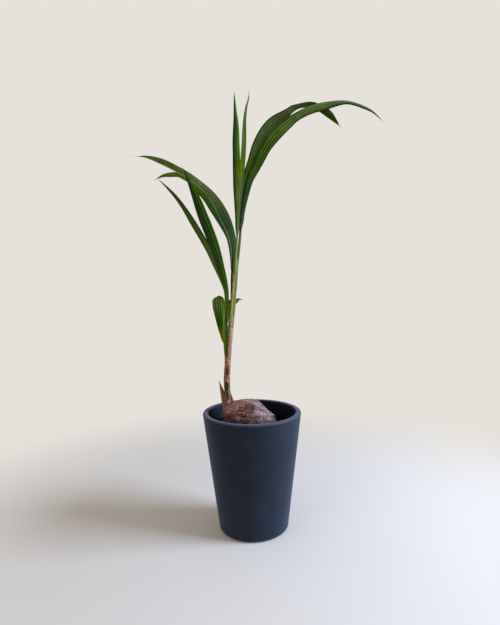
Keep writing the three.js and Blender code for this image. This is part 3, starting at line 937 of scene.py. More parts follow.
def stem_material():
    """Palm stem in its torn sheaths: dry netted fibre, ringed and knotted at the foot, over a waxy green
    stem. The mesh carries the share of sheath, and higher up the stalks show as strips side by side, with
    a dark band of painted shade down the left flank."""
    material, tree = new_material("torn_sheath_on_green_stem")
    space = add(tree, "TexCoord", out="Object")
    uv = add(tree, "TexCoord", out="UV")
    turn = add(tree, "SeparateXYZ", {"Vector": uv}, "X")
    height = add(tree, "SeparateXYZ", {"Vector": space}, "Z")
    cover = add(tree, "Attribute", out="Fac", attribute_name=MARK)
    low, high = STEM["stations"][0][2] * MM, STEM["stations"][-1][2] * MM
    way_up = add(tree, "MapRange", {"Value": height, 1: low, 2: high}, "Result")
    dry = add(
        tree, "ValToRGB", {"Fac": way_up}, "Color",
        [
            (0.0, "#8a5430"), (0.12, "#8c5a34"), (0.3, "#9c6a4c"), (0.45, "#a87662"), (0.55, "#b09060"),
            (0.7, "#b8a868"), (1, "#968844"),
        ],
    )
    # Strips of the stalks round the stem; the near-black band about 0.66 of the turn, on the left flank, is
    # painted shade
    strips_and_left_shade = add(
        tree, "ValToRGB", {"Fac": turn}, "Color",
        [
            (0.0, "#4d6a2a"), (0.2, "#587018"), (0.35, "#6c8426"), (0.4, "#3c5a16"), (0.46, "#73823e"),
            (0.52, "#b4ae68"), (0.57, "#ccc284"), (0.61, "#7e6c3c"), (0.66, "#20180a"), (0.8, "#3c4420"),
            (1, "#4d6a2a"),
        ],
    )
    # Sheath fibres are about 0.3 mm thick, which is too fine to show, so they are drawn coarser
    upright = add(tree, "Mapping", {"Vector": space, "Scale": (1, 1, 0.07)}, "Vector")
    fibre = add(
        tree, "TexNoise",
        {"Vector": upright, "Scale": 1 / (1.1 * MM), "Detail": 4, "Roughness": 0.7}, "Fac",
    )
    # A net 8 mm wide, on a stem that is about 56 mm round and 480 mm long
    meshes = add(tree, "Mapping", {"Vector": uv, "Scale": (56 / 8, 480 / 8, 1)}, "Vector")
    crossing = add(tree, "TexNoise", {"Vector": meshes, "Scale": 1, "Detail": 3, "Roughness": 0.6}, "Fac")
    level = add(tree, "Mapping", {"Vector": space, "Scale": (0.12, 0.12, 1)}, "Vector")
    band = add(
        tree, "TexNoise",
        {"Vector": level, "Scale": 1 / (2.4 * MM), "Detail": 3, "Roughness": 0.6}, "Fac",
    )
    tall = add(tree, "Mapping", {"Vector": space, "Scale": (1, 1, 0.6)}, "Vector")
    knot = add(
        tree, "TexNoise",
        {"Vector": tall, "Scale": 1 / (5 * MM), "Detail": 3, "Roughness": 0.6}, "Fac",
    )
    shadow = add(tree, "ValToRGB", {"Fac": fibre}, "Color", [(0.36, 0.75), (0.52, 0.0)])
    ring = add(tree, "ValToRGB", {"Fac": band}, "Color", [(0.44, 1.0), (0.5, 0.0)])
    ringed = add(
        tree, "ValToRGB", {"Fac": way_up}, "Color",
        [(0.14, 0.15), (0.2, 0.8), (0.27, 0.7), (0.33, 0.25), (0.6, 0.1)],
    )
    rings = add(tree, "Math", {0: ring, 1: ringed}, "Value", operation="MULTIPLY")
    netted = add(tree, "ValToRGB", {"Fac": crossing}, "Color", [(0.54, 0.0), (0.7, 0.6)])
    knotted = add(tree, "ValToRGB", {"Fac": knot}, "Color", [(0.62, 0.0), (0.67, 0.85)])
    for share, over in ((shadow, "#4a2c1a"), (rings, "#4a2c1a"), (netted, "#dcc2a8"), (knotted, "#2c190e")):
        dry = add(tree, "Mix", {0: share, 6: dry, 7: over}, MIXED, data_type="RGBA")
    stripped = add(tree, "ValToRGB", {"Fac": way_up}, "Color", [(0.35, 0.0), (0.5, 1.0)])
    lined = add(tree, "ValToRGB", {"Fac": fibre}, "Color", [(0.38, 0.6), (0.6, 1.0)])
    fresh = add(tree, "Mix", {0: stripped, 6: "#1a3e10", 7: strips_and_left_shade}, MIXED, data_type="RGBA")
    fresh = add(tree, "Mix", {0: 1, 6: fresh, 7: lined}, MIXED, data_type="RGBA", blend_type="MULTIPLY")
    tone = add(tree, "Mix", {0: cover, 6: fresh, 7: dry}, MIXED, data_type="RGBA")
    shader = add(
        tree, "BsdfPrincipled",
        {
            "Base Color": tone,
            "Roughness": add(tree, "MapRange", {"Value": cover, 3: 0.42, 4: 0.8}, "Result"),
            "Specular IOR Level": 0.2,
            "Normal": add(tree, "Bump", {"Height": fibre, "Distance": 0.5 * MM, "Strength": 1}, "Normal"),
        },
        "BSDF",
    )
    add(tree, "OutputMaterial", {"Surface": shader})
    return material


def scale_material():
    """A dry bud scale: papery, orange brown, dark at the tip, with a strip of living green on one edge."""
    material, tree = new_material("papery_bud_scale")
    space = add(tree, "TexCoord", out="Object")
    uv = add(tree, "TexCoord", out="UV")
    split = add(tree, "SeparateXYZ", {"Vector": uv})
    tone = add(
        tree, "ValToRGB", {"Fac": split.outputs["X"]}, "Color",
        [
            (0.0, "#c0b48c"), (0.1, "#8f8a48"), (0.22, "#a5683a"), (0.45, "#7a3a1c"), (0.65, "#52200f"),
            (0.85, "#6a3a24"), (1, "#a07048"),
        ],
    )
    tip = add(tree, "ValToRGB", {"Fac": split.outputs["Y"]}, "Color", [(0.8, 0.0), (1, 0.8)])
    # The veins of a scale are about 0.4 mm apart, which is too fine to show, so they are drawn coarser
    upright = add(tree, "Mapping", {"Vector": space, "Scale": (1, 1, 0.1)}, "Vector")
    fibre = add(
        tree, "TexNoise",
        {"Vector": upright, "Scale": 1 / (1.3 * MM), "Detail": 4, "Roughness": 0.6}, "Fac",
    )
    shadow = add(tree, "ValToRGB", {"Fac": fibre}, "Color", [(0.35, 0.5), (0.55, 0.0)])
    for share, over in ((tip, "#3a2016"), (shadow, "#4a2412")):
        tone = add(tree, "Mix", {0: share, 6: tone, 7: over}, MIXED, data_type="RGBA")
    shader = add(
        tree, "BsdfPrincipled",
        {
            "Base Color": tone, "Roughness": 0.7,
            "Normal": add(tree, "Bump", {"Height": fibre, "Distance": 0.4 * MM, "Strength": 1}, "Normal"),
        },
        "BSDF",
    )
    add(tree, "OutputMaterial", {"Surface": shader})
    return material


def blade_material(name, leaf):
    """A young palm blade: satin and folded along its length, with painted shade in the valleys of its pleats
    and painted light in its colours, lit a little from behind through its thin tissue, and dry at the very
    tip."""
    material, tree = new_material(f"palm_blade_{name}")
    space = add(tree, "TexCoord", out="Object")
    uv = add(tree, "TexCoord", out="UV")
    split = add(tree, "SeparateXYZ", {"Vector": uv})
    across, along = split.outputs["X"], split.outputs["Y"]
    # A lobe's colours along it carry painted sheen, highlights and shade as well as its own green
    first, second = (
        add(tree, "ValToRGB", {"Fac": along}, "Color", lobe["tones_and_painted_light"]) for lobe in leaf["lobes"].values()
    )
    far_half = add(tree, "Math", {0: across, 1: 0.5}, "Value", operation="GREATER_THAN")
    # Painted light and shade across the leaf, from one outer edge to the other
    painted_light_across = add(tree, "ValToRGB", {"Fac": across}, "Color", leaf["painted_light_across"])
    # The midrib is at 0 and both outer edges are at 0.5, and a pleat's valley comes at each whole number
    offset = add(tree, "Math", {0: across, 1: 0.5}, "Value", operation="SUBTRACT")
    edge = add(tree, "Math", {0: offset}, "Value", operation="ABSOLUTE")
    folds = add(tree, "Math", {0: edge, 1: 2 * leaf["pleats"]}, "Value", operation="MULTIPLY")
    fold = add(tree, "Math", {0: folds, 1: 0.5}, "Value", operation="PINGPONG")
    # A blade has a vein each millimetre or less, which is too fine to show, so they are drawn wider apart
    every = 2 * leaf["pleats"] * BLADE["veins_a_pleat"]
    veins = add(tree, "Math", {0: edge, 1: every}, "Value", operation="MULTIPLY")
    vein = add(tree, "Math", {0: veins, 1: 0.5}, "Value", operation="PINGPONG")
    # Painted shade in the valleys of the pleats, less of it towards the tip
    painted_furrow_shade, wide = leaf["painted_furrow_shade"]
    valley_shade = add(
        tree, "ValToRGB", {"Fac": fold}, "Color",
        [
            (0.0, painted_furrow_shade), (0.14 * wide, blend(painted_furrow_shade, 1, 0.06)), (0.27 * wide, blend(painted_furrow_shade, 1, 0.75)),
            (0.4 * wide, 1.0),
        ],
    )
    # Streaks 6 mm wide and 500 mm long, in a leaf that is about 54 mm wide and 600 mm long
    streaked = add(tree, "Mapping", {"Vector": uv, "Scale": (54 / 6, 600 / 500, 1)}, "Vector")
    varied = add(tree, "TexNoise", {"Vector": streaked, "Scale": 1, "Detail": 1, "Roughness": 0.6}, "Fac")
    uneven = add(tree, "ValToRGB", {"Fac": varied}, "Color", [(0.3, 0.6), (0.6, 1.0)])
    flatter = add(tree, "ValToRGB", {"Fac": along}, "Color", [(0.25, 1.0), (0.65, 0.7)])
    deep = add(tree, "Math", {0: uneven, 1: flatter}, "Value", operation="MULTIPLY")
    veined = add(tree, "ValToRGB", {"Fac": vein}, "Color", [(0.0, 0.75), (0.3, 1.0)])
    # A dark rib tone, as on the right and left_low leaves, is painted shade in the midrib's valley
    rib = add(tree, "ValToRGB", {"Fac": edge}, "Color", [(0.02, 1.0), (0.045, 0.0)])
    blotch = add(
        tree, "TexNoise",
        {"Vector": space, "Scale": 1 / (40 * MM), "Detail": 3, "Roughness": 0.6}, "Fac",
    )
    blotched = add(tree, "ValToRGB", {"Fac": blotch}, "Color", [(0.35, 0.8), (0.6, 1.0)])
    tip = add(tree, "ValToRGB", {"Fac": along}, "Color", [(0.98, 0.0), (1, 0.8)])
    layers = (
        (far_half, second, "MIX"), (1, painted_light_across, "MULTIPLY"), (deep, valley_shade, "MULTIPLY"),
        (1, veined, "MULTIPLY"), (rib, leaf["rib_tone_with_painted_shade"], "MIX"), (1, blotched, "MULTIPLY"),
        (tip, "#5e5a2c", "MIX"),
    )
    tone = first
    for share, over, way in layers:
        tone = add(tree, "Mix", {0: share, 6: tone, 7: over}, MIXED, data_type="RGBA", blend_type=way)
    glow = add(tree, "Mix", {0: 1, 6: tone, 7: "#d8ff4a"}, MIXED, data_type="RGBA", blend_type="MULTIPLY")
    shader = add(
        tree, "BsdfPrincipled",
        {
            "Base Color": tone, "Roughness": 0.38, "Specular IOR Level": 0.03,
            "Normal": add(tree, "Bump", {"Height": vein, "Distance": 0.25 * MM, "Strength": 1}, "Normal"),
        },
        "BSDF",
    )
    through = add(tree, "BsdfTranslucent", {"Color": glow}, "BSDF")
    both = add(tree, "MixShader", {0: 0.28, 1: shader, 2: through}, "Shader")
    add(tree, "OutputMaterial", {"Surface": both})
    return material


def stalk_material(name, tone):
    """A waxy palm stalk: finely lined along its length, pale on its ridges, and darkened on its left flank
    with painted shade.
    """
    material, tree = new_material(f"waxy_palm_stalk_{name}")
    uv = add(tree, "TexCoord", out="UV")
    turn = add(tree, "SeparateXYZ", {"Vector": uv}, "X")
    # Lines 1.5 mm wide and 300 mm long, on a stalk that is about 24 mm round and 450 mm long
    lengthwise = add(tree, "Mapping", {"Vector": uv, "Scale": (24 / 1.5, 450 / 300, 1)}, "Vector")
    line = add(tree, "TexNoise", {"Vector": lengthwise, "Scale": 1, "Detail": 2, "Roughness": 0.6}, "Fac")
    lined = add(tree, "ValToRGB", {"Fac": line}, "Color", [(0.36, 0.5), (0.6, 1.0)])
    # Painted shade on the left flank, away from the light
    left_flank_shade = add(
        tree, "ValToRGB", {"Fac": turn}, "Color",
        [(0.5, 1.0), (0.62, 0.75), (0.7, 0.3), (0.88, 0.3), (1, 1.0)],
    )
    ridge = add(tree, "ValToRGB", {"Fac": line}, "Color", [(0.6, 0.0), (0.75, 0.3)])
    colour = tone
    for share, over, way in ((1, lined, "MULTIPLY"), (1, left_flank_shade, "MULTIPLY"), (ridge, "#b2b87c", "MIX")):
        colour = add(tree, "Mix", {0: share, 6: colour, 7: over}, MIXED, data_type="RGBA", blend_type=way)
    shader = add(
        tree, "BsdfPrincipled",
        {
            "Base Color": colour, "Roughness": 0.42, "Specular IOR Level": 0.15,
            "Normal": add(tree, "Bump", {"Height": line, "Distance": 0.3 * MM, "Strength": 1}, "Normal"),
        },
        "BSDF",
    )
    add(tree, "OutputMaterial", {"Surface": shader})
    return material


def thread_material():
    """The dry threads that a palm leaf's lobes end in: dull and brown."""
    material, tree = new_material("dry_leaf_thread")
    shader = add(tree, "BsdfPrincipled", {"Base Color": "#8f7458", "Roughness": 0.8}, "BSDF")
    add(tree, "OutputMaterial", {"Surface": shader})
    return material


def floor_material(colour):
    """A plain pale floor that fades out far from the pot."""
    material, tree = new_material("plain_pale_floor")
    space = add(tree, "TexCoord", out="Object")
    away = add(tree, "VectorMath", {0: space}, "Value", operation="LENGTH")
    span = {1: FLOOR["full_to"], 2: FLOOR["gone_from"]}
    faded = add(tree, "MapRange", {"Value": away, **span}, "Result", interpolation_type="SMOOTHSTEP")
    shader = add(tree, "BsdfPrincipled", {"Base Color": colour, "Roughness": 0.9}, "BSDF")
    clear = add(tree, "BsdfTransparent", out="BSDF")
    both = add(tree, "MixShader", {0: faded, 1: shader, 2: clear}, "Shader")
    add(tree, "OutputMaterial", {"Surface": both})
    return material


def pot_outer(z):
    return blend(POT["base"], POT["top"], z / POT["height"])


def pot_inner(z):
    return pot_outer(z) - POT["wall"]


def quarter(radius, height, size, from_angle):
    """The points of a quarter round about (radius, height)."""
    angles = [from_angle + math.pi / 2 * i / POT["arc_steps"] for i in range(POT["arc_steps"] + 1)]
    return [(radius + size * math.cos(a), height + size * math.sin(a)) for a in angles]


def spun(profile, sides):
    """A closed solid spun about the pot's axis from (radius, height) points in mm."""
    mesh = bmesh.new()
    corners = [mesh.verts.new((r * MM, 0, z * MM)) for r, z in profile]
    edges = [mesh.edges.new(pair) for pair in zip(corners, corners[1:])]
    bmesh.ops.spin(
        mesh, geom=corners + edges, cent=(0, 0, 0), axis=(0, 0, 1), angle=math.tau,
        steps=sides, use_merge=True,
    )
    bmesh.ops.remove_doubles(mesh, verts=mesh.verts, dist=SAME_CORNER)
    bmesh.ops.recalc_face_normals(mesh, faces=mesh.faces)
    return mesh


def nut_place(turn, along, lift=0):
    """A point on the nut's skin in mm, lift outside it. Turn 0 faces up and 0.25 away from the viewer."""
    stations = NUT["stations"]
    radius = max(reading([r for _, r in stations], along), 0)
    distance = reading([d for d, _ in stations], along)
    angle = math.tau * turn
    girth = 1 + NUT["ridge"] * (math.cos(NUT["ridges"] * angle) - 1)
    radius = radius * girth + lift
    local = Vector((distance, radius * math.sin(angle) * NUT["depth"], radius * math.cos(angle)))
    return Matrix.Rotation(NUT["turn"], 3, "Z") @ local + Vector(NUT["centre"])


@cache
def husk_relief(turn, along):
    """How far the husk stands out in mm: lumps, wrinkles that wander along the nut, and a few splits."""
    fade = smooth(min(along, 1 - along) / HUSK["end_fade"])
    angle = math.tau * turn
    base = Vector((math.cos(angle), math.sin(angle), along * HUSK["slender"]))
    skin = base + noise.noise_vector(base * HUSK["wander_fine"]) * HUSK["wander"]
    relief = HUSK["lumps"] * noise.noise(base * HUSK["lumps_fine"])
    for height, fine_round, fine_along in HUSK["ridges"]:
        relief += height * ridged(skin, fine_round, fine_along)
    height, fine_round, fine_along = HUSK["grain"]
    relief += height * noise.noise(Vector((skin.x * fine_round, skin.y * fine_round, skin.z * fine_along)))
    height, fine_round, fine_along = HUSK["split"]
    spot = Vector((skin.x * fine_round, skin.y * fine_round, skin.z * fine_along + HUSK["split_at"]))
    relief -= height * smooth((noise.noise(spot) - HUSK["split_from"]) / HUSK["split_over"])
    return fade * relief - HUSK["sink"]


def ridged(place, around, along):
    """Noise with sharp crests, from about -1 to 0.5, as fine as the two counts say."""
    return 0.5 - 2.5 * abs(noise.noise(Vector((place.x * around, place.y * around, place.z * along))))


def husk_crest(turn, along):
    """0 in the husk's splits to 1 on its crests."""
    return smooth((husk_relief(turn % 1, along) - HUSK["crest_from"]) / HUSK["crest_over"])


def stem_cover(height, turn):
    """The share of dry sheath over the green stem at a height in mm and a turn from the back."""
    angle, fine = math.tau * turn, SHEATH["patch_round"]
    patch = Vector((math.cos(angle) * fine, math.sin(angle) * fine, height / SHEATH["patch_height"]))
    patchy = noise.noise(patch)
    tear = Vector((turn * SHEATH["tear_round"], SHEATH["tear_at"], height / SHEATH["tear_height"]))
    ragged = noise.noise(tear)
    cover = 1.0
    for at, window, half_height, half_turn in WINDOWS:
        apart = abs((turn - window + 0.5) % 1 - 0.5)
        inside = math.hypot((height - at) / half_height, apart / half_turn)
        torn = inside - 1 + SHEATH["window_ragged"] * ragged
        cover = min(cover, smooth(torn / SHEATH["window_edge"]))
    opening = smooth((height - SHEATH["open_from"]) / SHEATH["open_over"])
    left = 0.5 + 0.5 * math.cos(math.tau * (turn - LEFT + SHEATH["left_turn"]))
    kept = left - SHEATH["opened"] * opening + SHEATH["kept"]
    kept += SHEATH["patchy"] * patchy
    kept += SHEATH["ragged"] * ragged
    return min(cover, smooth(kept / SHEATH["edge"]))


def stem_mesh():
    """The stem: a tapering limb whose torn sheath stands out from the green stem under it."""
    mesh = bmesh.new()
    curve = Curve([station[:3] for station in STEM["stations"]])
    tube(
        mesh, STEM["around"], round(curve.length / STEM["step"]),
        lambda turn, along: stem_place(curve, turn, along),
        lambda turn, along: stem_cover(curve.point(along).z, turn),
    )
    return mesh


def stem_place(curve, turn, along, lift=0):
    """A point on the stem's skin in mm. Turn 0 is its back, 0.25 its right and 0.5 its front."""
    centre = curve.point(along)
    out, normal = square_to(curve.tangent(along), Vector((1, 0, 0)))
    angle = math.tau * (0.25 - turn)
    way = out * math.cos(angle) + normal * math.sin(angle)
    fine = STEM["fibre_round"]
    fibre = noise.noise(Vector((way.x * fine, way.y * fine, centre.z / STEM["fibre_length"])))
    radius = reading([station[3] for station in STEM["stations"]], curve.turn_of(along))
    bare = STEM["sheath"] * (1 - stem_cover(centre.z, turn))
    return centre + way * (radius - bare + STEM["fibre"] * fibre + lift)


def net_mesh():
    """The net of fibres that a young sheath leaves: thin strands wound about the stem both ways."""
    mesh = bmesh.new()
    chance = random.Random(SEED)
    curve = Curve([station[:3] for station in STEM["stations"]])
    for i in range(NET["count"]):
        low = blend(NET["from"], NET["to"], chance.random() ** NET["crowd"])
        turn, wound = chance.random(), chance.uniform(*NET["wound"]) * (1 if i % 2 else -1)
        climb, parts = chance.uniform(*NET["climb"]), NET["parts"]
        points = []
        for j in range(parts + 1):
            lift = NET["lift"] * chance.uniform(0, 1)
            points.append(stem_place(curve, (turn + wound * j / parts) % 1, low + climb * j / parts, lift))
        radius = NET["radius"] * chance.uniform(*NET["thick"])
        strand(mesh, points, radius, NET["tip"], NET["sides"], NET["steps"])
    return mesh


def blade_half(mesh, leaf, lobe, side):
    """One half of a leaf, from its stalk to its tip: bowed, folded in pleats and a little rippled. Side is
    -1 for the first lobe's half and 1 for the second's, and the front is the side that the viewer sees."""
    midrib = leaf["stalk"][leaf["blade_from"]:]
    curve = Curve(midrib + lobe["tail"])
    facing = Curve(lobe["across"])
    parting = Curve(midrib).length / curve.length
    rows = round(curve.length / BLADE["row"])
    columns = leaf["pleats"] * BLADE["columns_a_pleat"]

    @cache
    def row_at(row):
        share = blend(BLADE["start"], 1, row)
        width = reading(lobe["widths"], share)
        left_over = (1 - share) * curve.length
        free = smooth((share - parting) * curve.length / BLADE["inset_over"])
        inner = min(BLADE["inset"], width / 3) * free
        if "round" in lobe:
            past = max(1 - left_over / lobe["round"], 0)
            cut = 1 - math.sqrt(max(1 - past**2, BLADE["round_least"]))
            inner = blend(inner, width * BLADE["round_inner"], cut)
            width = blend(width, width * BLADE["round_outer"], cut)
        else:
            width *= min(left_over / BLADE["tip"] + BLADE["tip_least"], 1)
        width *= blend(BLADE["merge_width"], 1, smooth(share * curve.length / BLADE["merge"]))
        out, normal = square_to(curve.tangent(share), facing.at(share))
        return curve.point(share), out, normal * -side, inner, width

    def place(edge, row):
        here, out, front, inner, width = row_at(row)
        fold = BLADE["main_depth"] * width * zigzag(edge * BLADE["main_folds"])
        depth = BLADE["pleat_depth"] * min(width / BLADE["full_width"], 1)
        pleat = depth * (zigzag(edge * leaf["pleats"]) - 0.5)
        ripple = BLADE["ripple"] * edge**2 * noise.noise(here / BLADE["ripple_length"])
        lift = leaf["bow"] * width * 4 * edge * (1 - edge) + fold + pleat + ripple
        return here + out * blend(inner, width, edge) + front * lift

    made = grid(mesh, columns, rows, place)
    uv = mesh.loops.layers.uv.verify()
    for vert in made:
        for loop in vert.link_loops:
            edge, row = loop[uv].uv
            loop[uv].uv = (0.5 + side * 0.5 * edge, row)


def stalk_mesh(leaf):
    """A leaf's stalk, with a channel in front, which goes on as the midrib and sinks behind the blade."""
    mesh = bmesh.new()
    first, second = leaf["lobes"].values()
    facing = Vector(second["across"][0]) - Vector(first["across"][0])
    curve = Curve(leaf["stalk"])
    midrib = leaf["stalk"][leaf["blade_from"]:]
    bare = 1 - Curve(midrib).length / curve.length

    def radius_at(along):
        thinned = smooth((along - RIB["tip_from"]) / RIB["tip_over"])
        return blend(*leaf["stalk_radius"], along) * blend(1, RIB["tip"], thinned)

    def sink_at(along):
        return smooth((along - bare) / RIB["sink_over"]) * radius_at(along) * (1 - leaf["rib_shows"])

    def place(turn, along):
        out, back = square_to(curve.tangent(along), facing)
        angle = math.tau * turn
        groove = RIB["channel"] * max(-math.cos(angle), 0) ** 3
        way = back * math.cos(angle) + out * math.sin(angle)
        return curve.point(along) + back * sink_at(along) + way * radius_at(along) * (1 - groove)

    tube(mesh, RIB["sides"], round(curve.length / RIB["step"]), place)
    return mesh


def threads_mesh():
    """The dry threads at the tips of the lobes, hanging a little."""
    mesh = bmesh.new()
    for leaf in LEAVES.values():
        for lobe in leaf["lobes"].values():
            length = lobe.get("thread", 0)
            if not length:
                continue
            curve = Curve(leaf["stalk"][-1:] + lobe["tail"])
            start, way = curve.point(1), curve.tangent(1)
            middle = start + way * length / 2 - Vector((0, 0, THREAD["droop"] * length / 4))
            end = start + way * length - Vector((0, 0, THREAD["droop"] * length))
            points = [start - way * THREAD["rooted"], start, middle, end]
            strand(mesh, points, THREAD["radius"], THREAD["tip"], THREAD["sides"], THREAD["steps"])
    return mesh


class PalmSettings(bpy.types.PropertyGroup):
    """The sizes and colours that someone who reuses the palm would change."""

    pot_colour: bpy.props.FloatVectorProperty(
        name="Pot colour", description="The pot's matt coat", subtype="COLOR", size=4,
        min=0, max=1, default=linear("#121925"),
    )
    crumbs: bpy.props.IntProperty(
        name="Crumbs", description="How many crumbs lie on the potting mix", min=0,
        default=CRUMBS["count"],
    )
    fibres: bpy.props.IntProperty(
        name="Fibres", description="How many loose fibres lie on the nut", min=0,
        default=FIBRES["count"],
    )
    blade_thickness: bpy.props.FloatProperty(
        name="Blade thickness", description="How thick a leaf blade is", unit="LENGTH",
        min=0.0001, max=0.003, default=BLADE["thick"] * MM,
    )


class StageSettings(bpy.types.PropertyGroup):
    """The floor, the light and the background."""

    floor_colour: bpy.props.FloatVectorProperty(
        name="Floor colour", description="The plain floor", subtype="COLOR", size=4,
        min=0, max=1, default=linear("#d2cec8"),
    )
    background: bpy.props.FloatVectorProperty(
        name="Background", description="What the camera sees behind the palm", subtype="COLOR",
        size=4, min=0, max=1, default=linear("#e6e2db"),
    )
    ambient: bpy.props.FloatProperty(
        name="Ambient", description="Strength of the soft light from all round", min=0, default=0.55,
    )
    window_power: bpy.props.FloatProperty(
        name="Window power", description="Power of the large soft light on the right", unit="POWER",
        min=0, default=205,
    )


class PALM_OT_stage(bpy.types.Operator):
    """Add the floor, the lights, the background and the camera"""

    bl_idname = "palm.stage"
    bl_label = "Stage"

    def execute(self, context):
        settings = context.scene.palm_stage
        self.add_floor(settings.floor_colour)
        self.set_world(settings)
        self.add_light("window", settings.window_power)
        self.add_light("room_bounce", BOUNCE_POWER)
        self.add_camera(context.scene)
        context.scene.view_settings.view_transform = "Standard"
        return {"FINISHED"}

    def add_floor(self, colour):
        mesh = bmesh.new()
        bmesh.ops.create_circle(mesh, cap_ends=True, segments=FLOOR["sides"], radius=FLOOR["radius"])
        data = bpy.data.meshes.new("floor")
        mesh.to_mesh(data)
        mesh.free()
        data.materials.append(floor_material(colour))
        floor = bpy.data.objects.new("floor", data)
        bpy.context.scene.collection.objects.link(floor)

    def set_world(self, settings):
        world = bpy.data.worlds.new("pale_room")
        bpy.context.scene.world = world
        world.use_nodes = True
        tree = world.node_tree
        tree.nodes.clear()
        seen = add(tree, "Background", {"Color": settings.background, "Strength": 1}, "Background")
        light = add(tree, "Background", {"Color": "#f2ece4", "Strength": settings.ambient}, "Background")
        camera_ray = add(tree, "LightPath", out="Is Camera Ray")
        both = add(tree, "MixShader", {0: camera_ray, 1: light, 2: seen}, "Shader")
        add(tree, "OutputWorld", {"Surface": both})

    def add_light(self, name, power):
        place, towards, size, colour = LIGHTS[name]
        data = bpy.data.lights.new(name, "AREA")
        data.shape = "SQUARE"
        data.size = size
        data.energy = power
        data.color = linear(colour)[:3]
        light = bpy.data.objects.new(name, data)
        light.location = place
        light.rotation_euler = (Vector(towards) - Vector(place)).to_track_quat("-Z", "Y").to_euler()
        bpy.context.scene.collection.objects.link(light)

    def add_camera(self, scene):
        data = bpy.data.cameras.new("camera")
        data.lens = CAMERA["lens"]
        camera = bpy.data.objects.new("camera", data)
        scene.collection.objects.link(camera)
        level = Matrix.Rotation(math.pi / 2 - CAMERA["pitch"], 4, "X")
        roll = Matrix.Rotation(-CAMERA["roll"], 4, "Z")
        camera.matrix_world = Matrix.Translation(Vector(CAMERA["place"]) * MM) @ level @ roll
        scene.camera = camera


class PALM_OT_pot(bpy.types.Operator):
    """Spin the pot from its profile"""

    bl_idname = "palm.pot"
    bl_label = "Pot"

    def execute(self, context):
        foot, rim, top = POT["foot_round"], POT["rim_round"], POT["height"]
        profile = [
            (0, 0),
            *quarter(pot_outer(foot) - foot, foot, foot, -math.pi / 2),
            *quarter(pot_outer(top) - rim, top - rim, rim, 0),
            *quarter(pot_inner(top) + rim, top - rim, rim, math.pi / 2),
            (pot_inner(POT["floor"]), POT["floor"]),
            (0, POT["floor"]),
        ]
        material = pot_material(context.scene.palm.pot_colour)
        finish_piece("tapered_pot", spun(profile, POT["sides"]), material, ["pot"], sharp=40)
        return {"FINISHED"}


class PALM_OT_mix(bpy.types.Operator):
    """Fill the pot with potting mix and strew crumbs and bark on it"""

    bl_idname = "palm.mix"
    bl_label = "Potting mix"

    def height(self, x, y):
        """The mix's surface in mm: it rises to the middle, banks up to the nut and is lumpy."""
        reach = math.hypot(x, y) / pot_inner(MIX["edge"])
        swell = MIX["swell"] * noise.noise(Vector((x, y, 0)) / MIX["swell_width"])
        grain = MIX["grain"] * noise.noise(Vector((x, y, 50)) / MIX["grain_width"])
        bank = MIX["bank"] * smooth(1 - self.beyond_nut(x, y) / MIX["bank_width"])
        return MIX["edge"] + MIX["rise"] * (1 - reach) + swell + grain + bank

    def beyond_nut(self, x, y):
        """How far in mm a place is outside the nut's outline at the mix."""
        half_length, half_depth, middle = 76, 60, -14
        apart = math.hypot((x - middle) / half_length, (y - NUT["centre"][1]) / half_depth)
        return max(apart - 1, 0) * half_depth

    def execute(self, context):
        foot = POT["floor"] + MIX["gap"]
        edge = pot_inner(MIX["edge"]) - MIX["gap"]
        rings = [(edge * (1 - i / MIX["rings"]), MIX["edge"]) for i in range(MIX["rings"] + 1)]
        mesh = spun([(0, foot), (pot_inner(foot) - MIX["gap"], foot), *rings], MIX["sides"])
        half_way = (foot + MIX["edge"]) / 2 * MM
        for vert in mesh.verts:
            if vert.co.z > half_way:
                vert.co.z = self.height(vert.co.x / MM, vert.co.y / MM) * MM
        finish_piece("potting_mix", mesh, mix_material(), ["soil"])
        self.strew("mix_crumbs", context.scene.palm.crumbs, mix_material(), self.crumb)
        self.strew("bark_shreds", CRUMBS["chips"], chip_material(), self.shred)
        return {"FINISHED"}

    def strew(self, name, count, material, form):
        chance = random.Random(f"{SEED}{name}")
        mesh = bmesh.new()
        reach = pot_inner(MIX["edge"]) - CRUMBS["clear"]
        for _ in range(count):
            away = reach * math.sqrt(chance.random())
            angle = chance.uniform(0, math.tau)
            x, y = away * math.cos(angle), away * math.sin(angle)
            turn = Matrix.Rotation(chance.uniform(0, math.tau), 4, "Z")
            tilt = Matrix.Rotation(chance.uniform(-CRUMBS["tilt"], CRUMBS["tilt"]), 4, "X")
            scale = form(chance)
            if self.beyond_nut(x, y) <= 0:
                continue
            raised = self.height(x, y) + scale.to_scale().z * CRUMBS["raised"]
            place = Matrix.Translation(Vector((x, y, raised)) * MM)
            made = bmesh.ops.create_icosphere(
                mesh, subdivisions=1, radius=MM, matrix=place @ turn @ tilt @ scale,
            )["verts"]
            for vert in made:
                vert.co += noise.noise_vector(vert.co / (CRUMBS["knob_width"] * MM)) * CRUMBS["knob"] * MM
        finish_piece(name, mesh, material, sharp=50)

    def crumb(self, chance):
        size = blend(CRUMBS["least"], CRUMBS["most"], chance.random() ** 2)
        return Matrix.Diagonal((*(size * side for side in CRUMBS["shape"]), 1))

    def shred(self, chance):
        size = CRUMBS["chip"] * chance.uniform(*CRUMBS["chip_sizes"])
        return Matrix.Diagonal((*(size * side for side in CRUMBS["chip_shape"]), 1))


